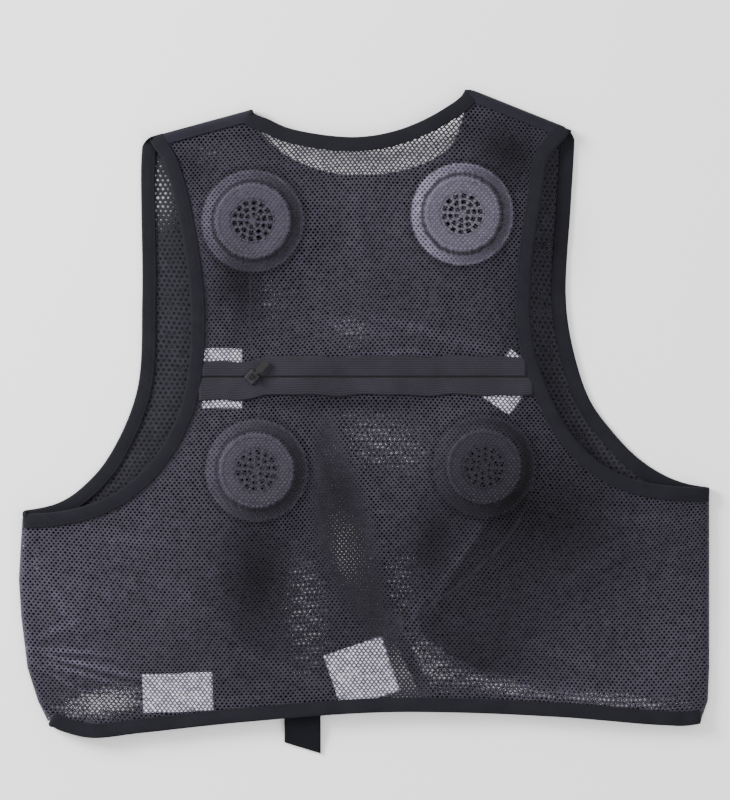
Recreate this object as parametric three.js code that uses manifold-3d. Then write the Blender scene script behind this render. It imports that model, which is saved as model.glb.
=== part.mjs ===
// Cooling vest with four fans, lying flat with its back up. Millimetres, +Z up, +Y towards the neck.
import * as THREE from 'three';
import { mergeVertices } from 'three/addons/utils/BufferGeometryUtils.js';
import Module from 'manifold-3d';

const wasm = await Module();
wasm.setup();

// Sizes of the vest as it lies
const vestWidth = 554; // side fold to side fold
const backLength = 504; // hem to the higher neck point
const meshWall = 1.2; // mesh cloth
const bindingWall = 1.0; // each flap of the folded elastic
const bindingWidth = 11.5;
const clearance = 0.3; // between pieces that lie on each other
const foldRoom = 0.6; // half of the space left inside the tightest fold
const foldRadius = 8; // how far from a fold the cloth has turned flat
const rightRise = 4.2; // height of the back over the fold line beside each side fold
const leftRise = 5.4;
const middleRise = 8.6; // height of the back over the fold line between the fans
const hemRise = 7.2;
const riseReach = 80; // how far from a fold the back has risen to its middle height
const hemReach = 110;

// Sizes of the trims
const shoulderTapeWidth = 11;
const tapeWall = 1.0;
const frontTapeWidth = 9;
const zipHeight = 273.6; // zip line above the hem
const zipSlot = 6;
const zipCoilWidth = 4.8;
const zipUpperWidth = 16.6;
const zipLowerWidth = 14.6;
const zipLipGap = 0.8; // between the two tapes at the zip line
const patchWall = 1.0;
const strapWall = 2.2;
const strapReach = 22; // how far the strap end hangs below the hem
const strapTuck = 17; // how far it reaches up inside

// Sizes of the fans
const flangeRadius = 41;
const drumRadius = 30;
const baseRadius = 36;
const fanHeight = 19;
const flangeHeight = 13.5; // top of the flange over the fan's base
const flangeWall = 2.5;
const housingWall = 1.6;
const grilleRadius = 17.6;
const grilleWall = 1.5;
const rotorRadius = 25;
const hubRadius = 9;
const rotorBlades = 5;
const pinRadius = 2;
const pinHeight = 7;
const leadRadius = 1.5;

// Sizes of the zip's slider and pull
const sliderLength = 10;
const sliderWidth = 9;
const sliderHeight = 3;
const pullLength = 18;
const pullWidth = 5.5;
const pullWall = 1.4;
const eyeRadius = 2.1;
const barRadius = 0.8;
const eyeWidth = 2.6;
const pullTurn = THREE.MathUtils.degToRad(45); // how the pull lies, from the zip line
const pullDrop = THREE.MathUtils.degToRad(8); // how far its tip hangs

// What follows from them
const halfWidth = vestWidth / 2;
const frontFace = bindingWall + clearance; // underside of the front cloth
const foldDrop = meshWall + clearance + bindingWall + foldRoom;
const foldLevel = frontFace + foldDrop; // height of the folds' outermost line
const fanBase = frontFace + meshWall + clearance;
const tentTop = fanBase + fanHeight + clearance + meshWall;
const outerFlap = clearance + bindingWall;
const innerFlap = -meshWall - clearance - bindingWall;

// Side folds and, above the underarm, the edge that the armholes cut away.
// Columns: y in back lengths over the hem, left and right in half widths.
const sideRows = [
  { y: -0.08, left: -0.9, right: 0.955 },
  { y: -0.02, left: -0.905, right: 0.965 },
  { y: 0.0, left: -0.92, right: 0.978 },
  { y: 0.028, left: -0.945, right: 0.996 },
  { y: 0.08, left: -0.975, right: 1.0 },
  { y: 0.16, left: -0.993, right: 1.0 },
  { y: 0.22, left: -1.0, right: 1.0 },
  { y: 0.33, left: -0.989, right: 1.0 },
  { y: 0.37, left: -0.975, right: 1.0 },
  { y: 0.46, left: -0.875, right: 0.92 },
  { y: 0.6, left: -0.79, right: 0.79 },
  { y: 1.0, left: -0.765, right: 0.765 },
];

// Line of the shoulder seams, which bulges where the neck is cut away.
// Columns: x in half widths, y in back lengths.
const shoulderRows = [
  { x: -0.8, y: 0.897 },
  { x: -0.642, y: 0.921 },
  { x: -0.328, y: 0.968 },
  { x: -0.245, y: 0.982 },
  { x: -0.12, y: 1.05 },
  { x: 0.12, y: 1.06 },
  { x: 0.25, y: 1.012 },
  { x: 0.31, y: 1.0 },
  { x: 0.615, y: 0.933 },
  { x: 0.8, y: 0.89 },
];

// Lower edge of the cloth. Columns as above.
const hemRows = [
  { x: -1.2, y: 0.02 },
  { x: -0.93, y: -0.006 },
  { x: -0.87, y: -0.02 },
  { x: -0.787, y: -0.03 },
  { x: -0.64, y: -0.022 },
  { x: -0.33, y: -0.004 },
  { x: 0.08, y: 0.011 },
  { x: 0.57, y: 0.003 },
  { x: 0.86, y: -0.01 },
  { x: 0.95, y: -0.01 },
  { x: 1.2, y: 0.03 },
];

// Cut edges of the armholes, shoulder to underarm. Columns as above.
const armholeRows = {
  left: {
    back: [
      { x: -0.635, y: 1.0 },
      { x: -0.628, y: 0.93 },
      { x: -0.578, y: 0.881 },
      { x: -0.531, y: 0.786 },
      { x: -0.5, y: 0.645 },
      { x: -0.516, y: 0.524 },
      { x: -0.556, y: 0.46 },
      { x: -0.635, y: 0.397 },
      { x: -0.74, y: 0.353 },
      { x: -0.866, y: 0.331 },
      { x: -1.1, y: 0.323 },
    ],
    front: [
      { x: -0.635, y: 1.0 },
      { x: -0.64, y: 0.93 },
      { x: -0.646, y: 0.881 },
      { x: -0.643, y: 0.667 },
      { x: -0.657, y: 0.524 },
      { x: -0.726, y: 0.429 },
      { x: -0.791, y: 0.381 },
      { x: -0.885, y: 0.343 },
      { x: -1.1, y: 0.323 },
    ],
  },
  right: {
    back: [
      { x: 0.603, y: 1.02 },
      { x: 0.594, y: 0.933 },
      { x: 0.536, y: 0.893 },
      { x: 0.513, y: 0.829 },
      { x: 0.484, y: 0.714 },
      { x: 0.487, y: 0.603 },
      { x: 0.542, y: 0.508 },
      { x: 0.621, y: 0.438 },
      { x: 0.711, y: 0.397 },
      { x: 0.82, y: 0.375 },
      { x: 1.1, y: 0.365 },
    ],
    front: [
      { x: 0.603, y: 1.02 },
      { x: 0.61, y: 0.933 },
      { x: 0.6, y: 0.825 },
      { x: 0.585, y: 0.667 },
      { x: 0.606, y: 0.587 },
      { x: 0.653, y: 0.508 },
      { x: 0.711, y: 0.462 },
      { x: 0.801, y: 0.411 },
      { x: 0.913, y: 0.377 },
      { x: 1.1, y: 0.361 },
    ],
  },
};

// Cut edges of the neck, left shoulder to right shoulder. Columns as above.
const neckRows = {
  back: [
    { x: -0.345, y: 1.05 },
    { x: -0.329, y: 0.968 },
    { x: -0.274, y: 0.952 },
    { x: -0.209, y: 0.937 },
    { x: -0.025, y: 0.924 },
    { x: 0.108, y: 0.937 },
    { x: 0.227, y: 0.968 },
    { x: 0.296, y: 1.0 },
    { x: 0.32, y: 1.07 },
  ],
  front: [
    { x: -0.345, y: 1.05 },
    { x: -0.325, y: 0.965 },
    { x: -0.28, y: 0.92 },
    { x: -0.18, y: 0.883 },
    { x: -0.04, y: 0.865 },
    { x: 0.144, y: 0.877 },
    { x: 0.253, y: 0.913 },
    { x: 0.3, y: 0.99 },
    { x: 0.32, y: 1.07 },
  ],
};

// Edges of the front opening, from where the panels part down to the hem. Columns as above.
const openingRows = {
  left: [
    { x: -0.108, y: 0.468 },
    { x: -0.139, y: 0.381 },
    { x: -0.118, y: 0.286 },
    { x: -0.055, y: 0.206 },
    { x: 0.023, y: 0.143 },
    { x: 0.081, y: 0.024 },
    { x: 0.1, y: -0.06 },
  ],
  right: [
    { x: -0.108, y: 0.468 },
    { x: -0.04, y: 0.381 },
    { x: 0.006, y: 0.302 },
    { x: 0.029, y: 0.23 },
    { x: 0.068, y: 0.151 },
    { x: 0.176, y: 0.024 },
    { x: 0.245, y: -0.06 },
  ],
};

// Broad folds of the back. Columns: ends x, y and endX, endY as above, width in back lengths,
// height in middle rises.
const foldRows = [
  { x: -0.97, y: 0.1, endX: -0.62, endY: 0.07, width: 0.022, height: 0.3 },
  { x: -0.96, y: 0.12, endX: -0.7, endY: 0.17, width: 0.022, height: 0.28 },
  { x: -0.6, y: 0.22, endX: -0.35, endY: 0.12, width: 0.03, height: 0.2 },
  { x: -0.1, y: 0.48, endX: 0.15, endY: 0.25, width: 0.03, height: 0.22 },
  { x: -0.25, y: 0.32, endX: 0.05, endY: 0.08, width: 0.03, height: 0.2 },
  { x: -0.15, y: 0.6, endX: 0.2, endY: 0.63, width: 0.025, height: 0.22 },
  { x: 0.55, y: 0.2, endX: 0.85, endY: 0.3, width: 0.03, height: 0.2 },
  { x: -0.05, y: 0.85, endX: 0.02, endY: 0.68, width: 0.03, height: 0.2 },
];

// Fans. Columns: x in half widths, y in back lengths.
const fanRows = [
  { name: 'upper_left', x: -0.321, y: 0.79 },
  { name: 'upper_right', x: 0.283, y: 0.801 },
  { name: 'lower_left', x: -0.31, y: 0.395 },
  { name: 'lower_right', x: 0.346, y: 0.401 },
];

// Tent of the mesh over a fan. Columns: radius from the fan's own radii, drop below the tent's top.
const tentRows = [
  { radius: drumRadius + clearance + meshWall, drop: 0 },
  { radius: drumRadius + clearance + 3.4 * meshWall, drop: 4.7 },
  { radius: flangeRadius + clearance + 1.4 * meshWall, drop: fanHeight - flangeHeight },
  { radius: flangeRadius + 27, drop: 10.8 },
];

// Slots of a grille. Columns: count, inner and outer radius in grille radii.
const slotRows = [
  { count: 12, inner: 0.72, outer: 0.92 },
  { count: 8, inner: 0.45, outer: 0.64 },
  { count: 5, inner: 0.18, outer: 0.37 },
];
const slotShare = 0.62; // of the pitch round a ring

// Pale patches. Columns: centre in half widths and back lengths, size in mm, turn in degrees.
const patchRows = [
  { name: 'patch_lower_left', x: -0.538, y: 0.042, width: 56, height: 31, turn: 2 },
  { name: 'patch_lower_middle', x: -0.007, y: 0.073, width: 49, height: 46, turn: 19 },
  { name: 'patch_upper_left', x: -0.41, y: 0.541, width: 32, height: 48, turn: 0 },
  { name: 'patch_upper_right', x: 0.41, y: 0.54, width: 30, height: 44, turn: -35 },
];

function solidOf(geometry) {
  geometry.deleteAttribute('normal');
  geometry.deleteAttribute('uv');
  const merged = mergeVertices(geometry, 1e-5);
  const vertProperties = new Float32Array(merged.attributes.position.array);
  const triVerts = new Uint32Array(merged.index.array);
  return new wasm.Manifold(new wasm.Mesh({ numProp: 3, vertProperties, triVerts }));
}

function geometryOf(solid) {
  const mesh = solid.getMesh();
  const geometry = new THREE.BufferGeometry();
  geometry.setAttribute('position', new THREE.BufferAttribute(new Float32Array(mesh.vertProperties), 3));
  geometry.setIndex(new THREE.BufferAttribute(new Uint32Array(mesh.triVerts), 1));
  geometry.computeVertexNormals();
  return geometry;
}

function placed(row) {
  return new THREE.Vector2(row.x * halfWidth, row.y * backLength);
}

// A value of a table between its rows
function between(rows, key, at, column) {
  const next = rows.findIndex((row) => row[key] >= at);
  if (next === 0) return rows[0][column];
  if (next < 0) return rows[rows.length - 1][column];
  const low = rows[next - 1];
  const high = rows[next];
  return THREE.MathUtils.mapLinear(at, low[key], high[key], low[column], high[column]);
}

function leftEdge(y) {
  return between(sideRows, 'y', y / backLength, 'left') * halfWidth;
}

function rightEdge(y) {
  return between(sideRows, 'y', y / backLength, 'right') * halfWidth;
}

function shoulderLine(x) {
  return between(shoulderRows, 'x', x / halfWidth, 'y') * backLength;
}

// Share of its full height that cloth has reached at a distance from a fold
function foldShare(distance, radius) {
  const open = THREE.MathUtils.clamp(1 - distance / radius, 0, 1);
  return Math.max(Math.sqrt(1 - open * open), 0.25);
}

function foldHeight(row, x, y) {
  const start = placed(row);
  const end = new THREE.Vector2(row.endX * halfWidth, row.endY * backLength);
  const along = end.clone().sub(start);
  const point = new THREE.Vector2(x, y).sub(start);
  const share = THREE.MathUtils.clamp(point.dot(along) / along.lengthSq(), 0, 1);
  const away = point.distanceTo(along.multiplyScalar(share)) / (row.width * backLength);
  return row.height * middleRise * Math.exp(-away * away);
}

// Height of the back over the fold line, away from the folds
function backRise(x, y) {
  const fromLeft = x - leftEdge(y);
  const fromRight = rightEdge(y) - x;
  const sideRise = fromLeft < fromRight ? leftRise : rightRise;
  const side = THREE.MathUtils.smoothstep(Math.min(fromLeft, fromRight), 0, riseReach);
  const top = THREE.MathUtils.smoothstep(shoulderLine(x) - y, 0, riseReach);
  const hem = THREE.MathUtils.smoothstep(y, 0, hemReach);
  const middle = THREE.MathUtils.lerp(hemRise, middleRise, hem);
  const folds = foldRows.reduce((sum, row) => sum + foldHeight(row, x, y), 0);
  return THREE.MathUtils.lerp(sideRise, middle, side * top) + folds * side;
}

// Grid lines lie close together in a fold and evenly elsewhere
const foldLines = [0, 0.3, 1];
function gridLine(index, cells, low, high, lowFold, highFold) {
  const turns = foldLines.length - 1;
  if (lowFold && index < turns) return low + foldLines[index] * lowFold;
  if (index > cells - turns) return high - foldLines[cells - index] * highFold;
  const first = lowFold ? turns : 0;
  const share = (index - first) / (cells - turns - first);
  return THREE.MathUtils.lerp(low + lowFold, high - highFold, share);
}

const pillowColumns = 16;
const pillowRows = 15;
const pillowStart = sideRows[0].y * backLength;
function pillowPoint(column, row, offset) {
  const radius = foldRadius + offset;
  const level = gridLine(row, pillowRows, pillowStart, backLength, 0, radius);
  const left = leftEdge(level) - offset;
  const right = rightEdge(level) + offset;
  const x = gridLine(column, pillowColumns, left, right, radius, radius);
  const top = shoulderLine(x) + offset;
  const y = gridLine(row, pillowRows, pillowStart, top, 0, radius);
  const share = foldShare(Math.min(x - left, right - x), radius) * foldShare(top - y, radius);
  return new THREE.Vector3(x, y, foldLevel + share * (backRise(x, y) + offset));
}

function pillowOutline(offset) {
  const points = [];
  for (let column = 0; column < pillowColumns; column++) points.push(pillowPoint(column, 0, offset));
  for (let row = 0; row < pillowRows; row++) points.push(pillowPoint(pillowColumns, row, offset));
  for (let column = pillowColumns; column > 0; column--) {
    points.push(pillowPoint(column, pillowRows, offset));
  }
  for (let row = pillowRows; row > 0; row--) points.push(pillowPoint(0, row, offset));
  return points.map((point) => new THREE.Vector2(point.x, point.y));
}

// The whole vest as one closed pillow, grown by an offset: a domed back on a flat front.
// It runs past the hem, where it is cut later.
function pillow(offset) {
  const dome = new THREE.BoxGeometry(1, 1, 1, pillowColumns, pillowRows, 1);
  const position = dome.attributes.position;
  for (let i = 0; i < position.count; i++) {
    const column = Math.round((position.getX(i) + 0.5) * pillowColumns);
    const row = Math.round((position.getY(i) + 0.5) * pillowRows);
    const point = pillowPoint(column, row, offset);
    position.setXYZ(i, point.x, point.y, position.getZ(i) > 0 ? point.z : foldLevel);
  }
  return solidOf(dome).add(prism(pillowOutline(offset), foldLevel - foldDrop - offset, foldLevel));
}

const tentSides = 14;
function tent(fan, offset) {
  const outline = tentRows.map((row) => new THREE.Vector2(row.radius + offset, tentTop - row.drop + offset));
  const foot = [new THREE.Vector2(0, foldLevel), new THREE.Vector2(outline.at(-1).x, foldLevel)];
  const points = [...foot, ...outline.reverse(), new THREE.Vector2(0, tentTop + offset)];
  const geometry = new THREE.LatheGeometry(points, tentSides);
  geometry.rotateX(Math.PI / 2);
  const centre = placed(fan);
  geometry.translate(centre.x, centre.y, 0);
  return solidOf(geometry);
}

function body(offset) {
  return fanRows.reduce((solid, fan) => solid.add(tent(fan, offset)), pillow(offset));
}

function prism(points, low, high) {
  const shape = new THREE.Shape(points);
  const geometry = new THREE.ExtrudeGeometry(shape, { depth: high - low, bevelEnabled: false });
  geometry.translate(0, 0, low);
  return solidOf(geometry);
}

// A smooth edge through the rows, moved sideways to the left of its direction
function edge(rows, shift) {
  const points = rows.map((row) => new THREE.Vector3(...placed(row), 0));
  const curve = new THREE.CatmullRomCurve3(points, false, 'centripetal');
  const steps = rows.length + 2;
  return Array.from({ length: steps + 1 }, (_, i) => {
    const point = curve.getPoint(i / steps);
    const tangent = curve.getTangent(i / steps);
    return new THREE.Vector2(point.x - tangent.y * shift, point.y + tangent.x * shift);
  });
}

const farX = vestWidth;
const farY = 1.5 * backLength;
const farZ = 60;

// What an opening takes away, above and below the fold line. A positive spare leaves more cloth.
function armholeCut(side, spare) {
  const outward = side === 'left' ? -1 : 1;
  const closing = [new THREE.Vector2(outward * farX, 0), new THREE.Vector2(outward * farX, farY)];
  const shift = outward * spare;
  const back = prism([...edge(armholeRows[side].back, shift), ...closing], foldLevel, farZ);
  const front = prism([...edge(armholeRows[side].front, shift), ...closing], -farZ, foldLevel);
  return back.add(front);
}

function neckCut(spare) {
  const closing = [new THREE.Vector2(halfWidth, farY), new THREE.Vector2(-halfWidth, farY)];
  const back = prism([...edge(neckRows.back, spare), ...closing], foldLevel, farZ);
  const front = prism([...edge(neckRows.front, spare), ...closing], -farZ, foldLevel);
  return back.add(front);
}

function hemCut(spare) {
  const closing = [new THREE.Vector2(farX, -farY), new THREE.Vector2(-farX, -farY)];
  return prism([...edge(hemRows, -spare), ...closing], -farZ, farZ);
}

// The front opening, with a seam slit from its top to the neck
function openingCut(spare) {
  const left = edge(openingRows.left, spare);
  const right = edge(openingRows.right, -spare).reverse();
  const top = placed(openingRows.left[0]);
  const slit = new THREE.BoxGeometry(clearance, backLength, 2 * foldLevel);
  slit.translate(top.x, top.y + backLength / 2 - clearance, 0);
  return prism([...left, ...right], -farZ, foldLevel).add(solidOf(slit));
}

function slab(low, high) {
  const corners = [[-farX, -farY], [farX, -farY], [farX, farY], [-farX, farY]];
  return prism(corners.map((corner) => new THREE.Vector2(...corner)), low, high);
}

function band(low, high) {
  const corners = [[-farX, low], [farX, low], [farX, high], [-farX, high]];
  return prism(corners.map((corner) => new THREE.Vector2(...corner)), foldLevel, farZ);
}

function material(color, roughness) {
  return new THREE.MeshStandardMaterial({ color, roughness, metalness: 0 });
}

function named(name, shape, finish) {
  const geometry = shape instanceof THREE.BufferGeometry ? shape : geometryOf(shape);
  const mesh = new THREE.Mesh(geometry, finish);
  mesh.name = name;
  return mesh;
}

const meshFinish = material('#43434d', 0.85);
const frontFinish = material('#3a3942', 0.85);
const elasticFinish = material('#2d2e35', 0.8);
const zipFinish = material('#33323b', 0.7);
const pullFinish = material('#121214', 0.25);
const fanFinish = material('#5c5c68', 0.5);
const rotorFinish = material('#2a2a30', 0.5);
const patchFinish = material('#d4d4da', 0.9);
const leadFinish = material('#3c3c42', 0.45);
const strapFinish = material('#1b1b22', 0.75);

const cloth = body(0).subtract(body(-meshWall));
const clothClear = body(clearance).subtract(body(-meshWall - clearance));
const thickCloth = body(outerFlap).subtract(body(innerFlap));
const overCloth = body(clearance + tapeWall).subtract(body(clearance));
const underCloth = body(-meshWall - clearance).subtract(body(-meshWall - clearance - patchWall));

const cuts = {
  neck_binding: neckCut,
  armhole_binding_left: (spare) => armholeCut('left', spare),
  armhole_binding_right: (spare) => armholeCut('right', spare),
  hem_binding: hemCut,
};
const cutCloth = Object.values(cuts).reduce((solid, cut) => solid.subtract(cut(0)), cloth);

// What stays clear of every binding's flap
function inside(solid) {
  return Object.values(cuts).reduce((rest, cut) => rest.subtract(cut(-bindingWidth - clearance)), solid);
}

const vest = new THREE.Group();

function addCloth() {
  const slot = zipSlot / 2;
  const back = cutCloth.subtract(slab(-farZ, foldLevel + clearance));
  vest.add(named('back_yoke', back.intersect(band(zipHeight + slot, farY)), meshFinish));
  vest.add(named('back_lower', back.intersect(band(-farY, zipHeight - slot)), meshFinish));
  const front = cutCloth.subtract(slab(foldLevel, farZ)).subtract(openingCut(0));
  const parting = placed(openingRows.left[0]);
  const foot = placed(openingRows.left.at(-1)).add(placed(openingRows.right.at(-1))).divideScalar(2);
  const leftSide = [new THREE.Vector2(-farX, -farY), new THREE.Vector2(foot.x, -farY), foot, parting];
  leftSide.push(new THREE.Vector2(parting.x, farY), new THREE.Vector2(-farX, farY));
  const leftHalf = prism(leftSide, -farZ, farZ);
  vest.add(named('front_left_panel', front.intersect(leftHalf), frontFinish));
  vest.add(named('front_right_panel', front.subtract(leftHalf), frontFinish));
}

// Folded elastic: a flap on each face of the cloth and a web round its edge
function addBindings() {
  for (const [name, cut] of Object.entries(cuts)) {
    const seat = clothClear.subtract(cut(clearance));
    const flaps = thickCloth.intersect(cut(-bindingWidth)).subtract(cut(outerFlap)).subtract(seat);
    const folded = name === 'hem_binding' ? flaps.subtract(openingCut(0)) : flaps;
    vest.add(named(name, folded, elasticFinish));
  }
}

function addTapes() {
  const above = overCloth.subtract(slab(-farZ, foldLevel + clearance));
  const line = shoulderRows.map((row) => placed(row));
  const lower = line.map((point) => new THREE.Vector2(point.x, point.y - shoulderTapeWidth)).reverse();
  const upper = line.map((point) => new THREE.Vector2(point.x, point.y + shoulderTapeWidth));
  const shoulders = inside(above).intersect(prism([...upper, ...lower], foldLevel, farZ));
  const half = [new THREE.Vector2(0, 0), new THREE.Vector2(farX, 0)];
  half.push(new THREE.Vector2(farX, farY), new THREE.Vector2(0, farY));
  const rightHalf = prism(half, -farZ, farZ);
  vest.add(named('shoulder_tape_left', shoulders.subtract(rightHalf), elasticFinish));
  vest.add(named('shoulder_tape_right', shoulders.intersect(rightHalf), elasticFinish));
  const lip = zipLipGap / 2;
  const zipBand = inside(above);
  const upperTape = zipBand.intersect(band(zipHeight + lip, zipHeight + zipUpperWidth));
  const lowerTape = zipBand.intersect(band(zipHeight - zipLowerWidth, zipHeight - lip));
  const coilBand = band(zipHeight - zipCoilWidth / 2, zipHeight + zipCoilWidth / 2);
  vest.add(named('zip_tape_upper', upperTape, zipFinish));
  vest.add(named('zip_tape_lower', lowerTape, zipFinish));
  vest.add(named('zip_coil', inside(cloth).intersect(coilBand), zipFinish));
}

function addFrontTapes() {
  const low = frontFace + meshWall + clearance;
  const field = inside(slab(low, low + tapeWall));
  for (const [side, turn] of [['left', -1], ['right', 1]]) {
    const outline = [
      ...edge(openingRows[side], turn * clearance),
      ...edge(openingRows[side], turn * frontTapeWidth).reverse(),
    ];
    vest.add(named(`front_edge_tape_${side}`, field.intersect(prism(outline, 0, farZ)), elasticFinish));
  }
}

function addPatches() {
  const field = inside(underCloth);
  for (const row of patchRows) {
    const plate = new THREE.BoxGeometry(row.width, row.height, farZ);
    plate.rotateZ(THREE.MathUtils.degToRad(row.turn));
    const centre = placed(row);
    plate.translate(centre.x, centre.y, farZ / 2 + foldLevel);
    vest.add(named(row.name, field.intersect(solidOf(plate)), patchFinish));
  }
}

function lathed(points, sides) {
  const profile = points.map(([radius, level]) => new THREE.Vector2(radius, level));
  const geometry = new THREE.LatheGeometry(profile, sides);
  geometry.rotateX(Math.PI / 2);
  return solidOf(geometry);
}

const grilleSeat = grilleRadius + clearance;
const fanSides = 14;

function fanHousing() {
  const roof = fanHeight - housingWall;
  return lathed([
    [0, 0],
    [baseRadius, 0],
    [baseRadius, flangeHeight - flangeWall],
    [flangeRadius, flangeHeight - flangeWall],
    [flangeRadius, flangeHeight],
    [drumRadius, flangeHeight],
    [drumRadius, fanHeight],
    [grilleSeat, fanHeight],
    [grilleSeat, roof],
    [drumRadius - housingWall, roof],
    [drumRadius - housingWall, housingWall],
    [pinRadius, housingWall],
    [pinRadius, pinHeight],
    [0, pinHeight],
  ], fanSides);
}

function ringPoint(radius, angle) {
  return new THREE.Vector2(radius * Math.cos(angle), radius * Math.sin(angle));
}

function fanGrille() {
  const side = (2 * Math.PI) / fanSides;
  const disc = Array.from({ length: fanSides }, (_, i) => ringPoint(grilleRadius, Math.PI / 2 + i * side));
  const shape = new THREE.Shape(disc);
  for (const row of slotRows) {
    const pitch = (2 * Math.PI) / row.count;
    for (let i = 0; i < row.count; i++) {
      const start = i * pitch;
      const end = start + pitch * slotShare;
      const corners = [[row.inner, start], [row.outer, start], [row.outer, end], [row.inner, end]];
      const slot = corners.map(([radius, angle]) => ringPoint(radius * grilleRadius, angle));
      shape.holes.push(new THREE.Path(slot));
    }
  }
  const geometry = new THREE.ExtrudeGeometry(shape, { depth: grilleWall, bevelEnabled: false });
  return solidOf(geometry);
}

function fanRotor() {
  const foot = housingWall + clearance;
  const head = fanHeight - housingWall - 3 * clearance;
  const bore = pinRadius + clearance;
  const socket = pinHeight + clearance;
  const side = [[0, socket], [bore, socket], [bore, foot], [hubRadius, foot], [hubRadius, head], [0, head]];
  const hub = lathed(side, 8);
  const bladeHeight = head - foot - 1;
  return Array.from({ length: rotorBlades }).reduce((rotor, _, i) => {
    const blade = new THREE.BoxGeometry(rotorRadius - hubRadius + 2, housingWall, bladeHeight);
    blade.translate((rotorRadius + hubRadius - 2) / 2, 0, foot + bladeHeight / 2);
    blade.rotateZ((i * 2 * Math.PI) / rotorBlades);
    return rotor.add(solidOf(blade));
  }, hub);
}

function addFans() {
  for (const row of fanRows) {
    const fan = new THREE.Group();
    fan.position.set(...placed(row), fanBase);
    const grille = named(`fan_grille_${row.name}`, fanGrille(), fanFinish);
    grille.position.z = fanHeight - grilleWall;
    fan.add(named(`fan_housing_${row.name}`, fanHousing(), fanFinish));
    fan.add(grille);
    fan.add(named(`fan_rotor_${row.name}`, fanRotor(), rotorFinish));
    vest.add(fan);
  }
}

// Leads run close under the back. Columns: x in half widths, y in back lengths.
const leadLevel = fanBase + flangeHeight - flangeWall - leadRadius - 2;
const leadGap = 0.9; // from a lead's end to what it plugs into
const leadDrop = leadRadius + 1.2; // lead's middle below the back cloth
function fanCentre(name) {
  return placed(fanRows.find((row) => row.name === name));
}

function fromFan(name, degrees) {
  const away = ringPoint(baseRadius + leadGap, THREE.MathUtils.degToRad(degrees));
  return fanCentre(name).add(away);
}

const connector = { x: 0.2, y: 0.671, length: 13, width: 7, height: 4.4 };
const plug = { x: 0.1, y: 0.15, length: 15, width: 8, height: 4.4 };

function leadPoint(point) {
  const under = foldLevel + backRise(point.x, point.y) - meshWall;
  return new THREE.Vector3(point.x, point.y, Math.min(leadLevel, under - leadDrop));
}

const leadSides = 6;
function tube(points) {
  const route = new THREE.CatmullRomCurve3(points.map((point) => leadPoint(point)));
  const pitch = (2 * Math.PI) / leadSides;
  const corners = Array.from({ length: leadSides }, (_, i) => ringPoint(leadRadius, i * pitch));
  const section = new THREE.Shape(corners);
  const steps = Math.ceil(route.getLength() / (10 * leadRadius));
  return solidOf(new THREE.ExtrudeGeometry(section, { steps, extrudePath: route, bevelEnabled: false }));
}

function block(piece) {
  const geometry = new THREE.BoxGeometry(piece.width, piece.length, piece.height);
  geometry.translate(...leadPoint(placed(piece)));
  return solidOf(geometry);
}

function addLeads() {
  const joint = placed(connector);
  const reach = connector.length / 2 + leadGap;
  const above = joint.clone().setY(joint.y + reach);
  const below = joint.clone().setY(joint.y - reach);
  const end = placed(plug);
  end.x += plug.width / 2 + leadGap;
  const left = [fromFan('upper_left', -92), placed({ x: -0.33, y: 0.6 }), placed({ x: -0.296, y: 0.54 })];
  left.push(fromFan('lower_left', 88));
  const upper = [fromFan('upper_right', -95), placed({ x: 0.245, y: 0.712 }), above];
  const lower = [below, placed({ x: 0.15, y: 0.6 }), placed({ x: 0.133, y: 0.5 })];
  lower.push(placed({ x: 0.176, y: 0.437 }), fromFan('lower_right', 175));
  const power = [fromFan('lower_right', 20), placed({ x: 0.5, y: 0.385 }), placed({ x: 0.44, y: 0.3 })];
  power.push(placed({ x: 0.3, y: 0.22 }), end);
  vest.add(named('lead_left', tube(left), leadFinish));
  vest.add(named('lead_right_upper', tube(upper), leadFinish));
  vest.add(named('lead_connector', block(connector), leadFinish));
  vest.add(named('lead_right_lower', tube(lower), leadFinish));
  vest.add(named('lead_power', tube(power), leadFinish));
  vest.add(named('power_plug', block(plug), leadFinish));
}

// Slider on the tapes, with a bar between two ears that the pull's eye turns about
const sliderPlace = { x: -0.323, y: zipHeight / backLength };
const barHeight = sliderHeight + eyeRadius + clearance;
const eyeBore = barRadius + clearance;
const earWall = 1;
const earInset = eyeWidth / 2 + clearance;

function zipSlider() {
  const plate = new THREE.BoxGeometry(sliderLength, sliderWidth, sliderHeight);
  plate.translate(0, 0, sliderHeight / 2);
  const bar = new THREE.CylinderGeometry(barRadius, barRadius, 2 * (earInset + earWall / 2), 8);
  bar.translate(0, 0, barHeight);
  let slider = solidOf(plate).add(solidOf(bar));
  for (const side of [-1, 1]) {
    const height = barHeight + barRadius;
    const ear = new THREE.BoxGeometry(3 * barRadius, earWall, height);
    ear.translate(0, side * (earInset + earWall / 2), height / 2);
    slider = slider.add(solidOf(ear));
  }
  return slider;
}

// The pull lies along +X from the bar that it turns about
function zipPull() {
  const neck = eyeWidth / 2;
  const wide = pullWidth / 2;
  const outline = new THREE.Shape();
  const shoulder = 2.5 * eyeRadius;
  outline.moveTo(eyeBore, -neck);
  outline.lineTo(shoulder - neck, -neck);
  outline.lineTo(shoulder, -wide);
  outline.absarc(pullLength - wide, 0, wide, -Math.PI / 2, Math.PI / 2);
  outline.lineTo(shoulder, wide);
  outline.lineTo(shoulder - neck, neck);
  outline.lineTo(eyeBore, neck);
  const options = { depth: pullWall, bevelEnabled: false, curveSegments: 4 };
  const plate = new THREE.ExtrudeGeometry(outline, options);
  plate.translate(0, 0, -pullWall / 2);
  const eye = new THREE.CylinderGeometry(eyeRadius, eyeRadius, eyeWidth, 8);
  const hole = new THREE.CylinderGeometry(eyeBore, eyeBore, 2 * eyeWidth, 8);
  return solidOf(plate).add(solidOf(eye)).subtract(solidOf(hole));
}

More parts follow.
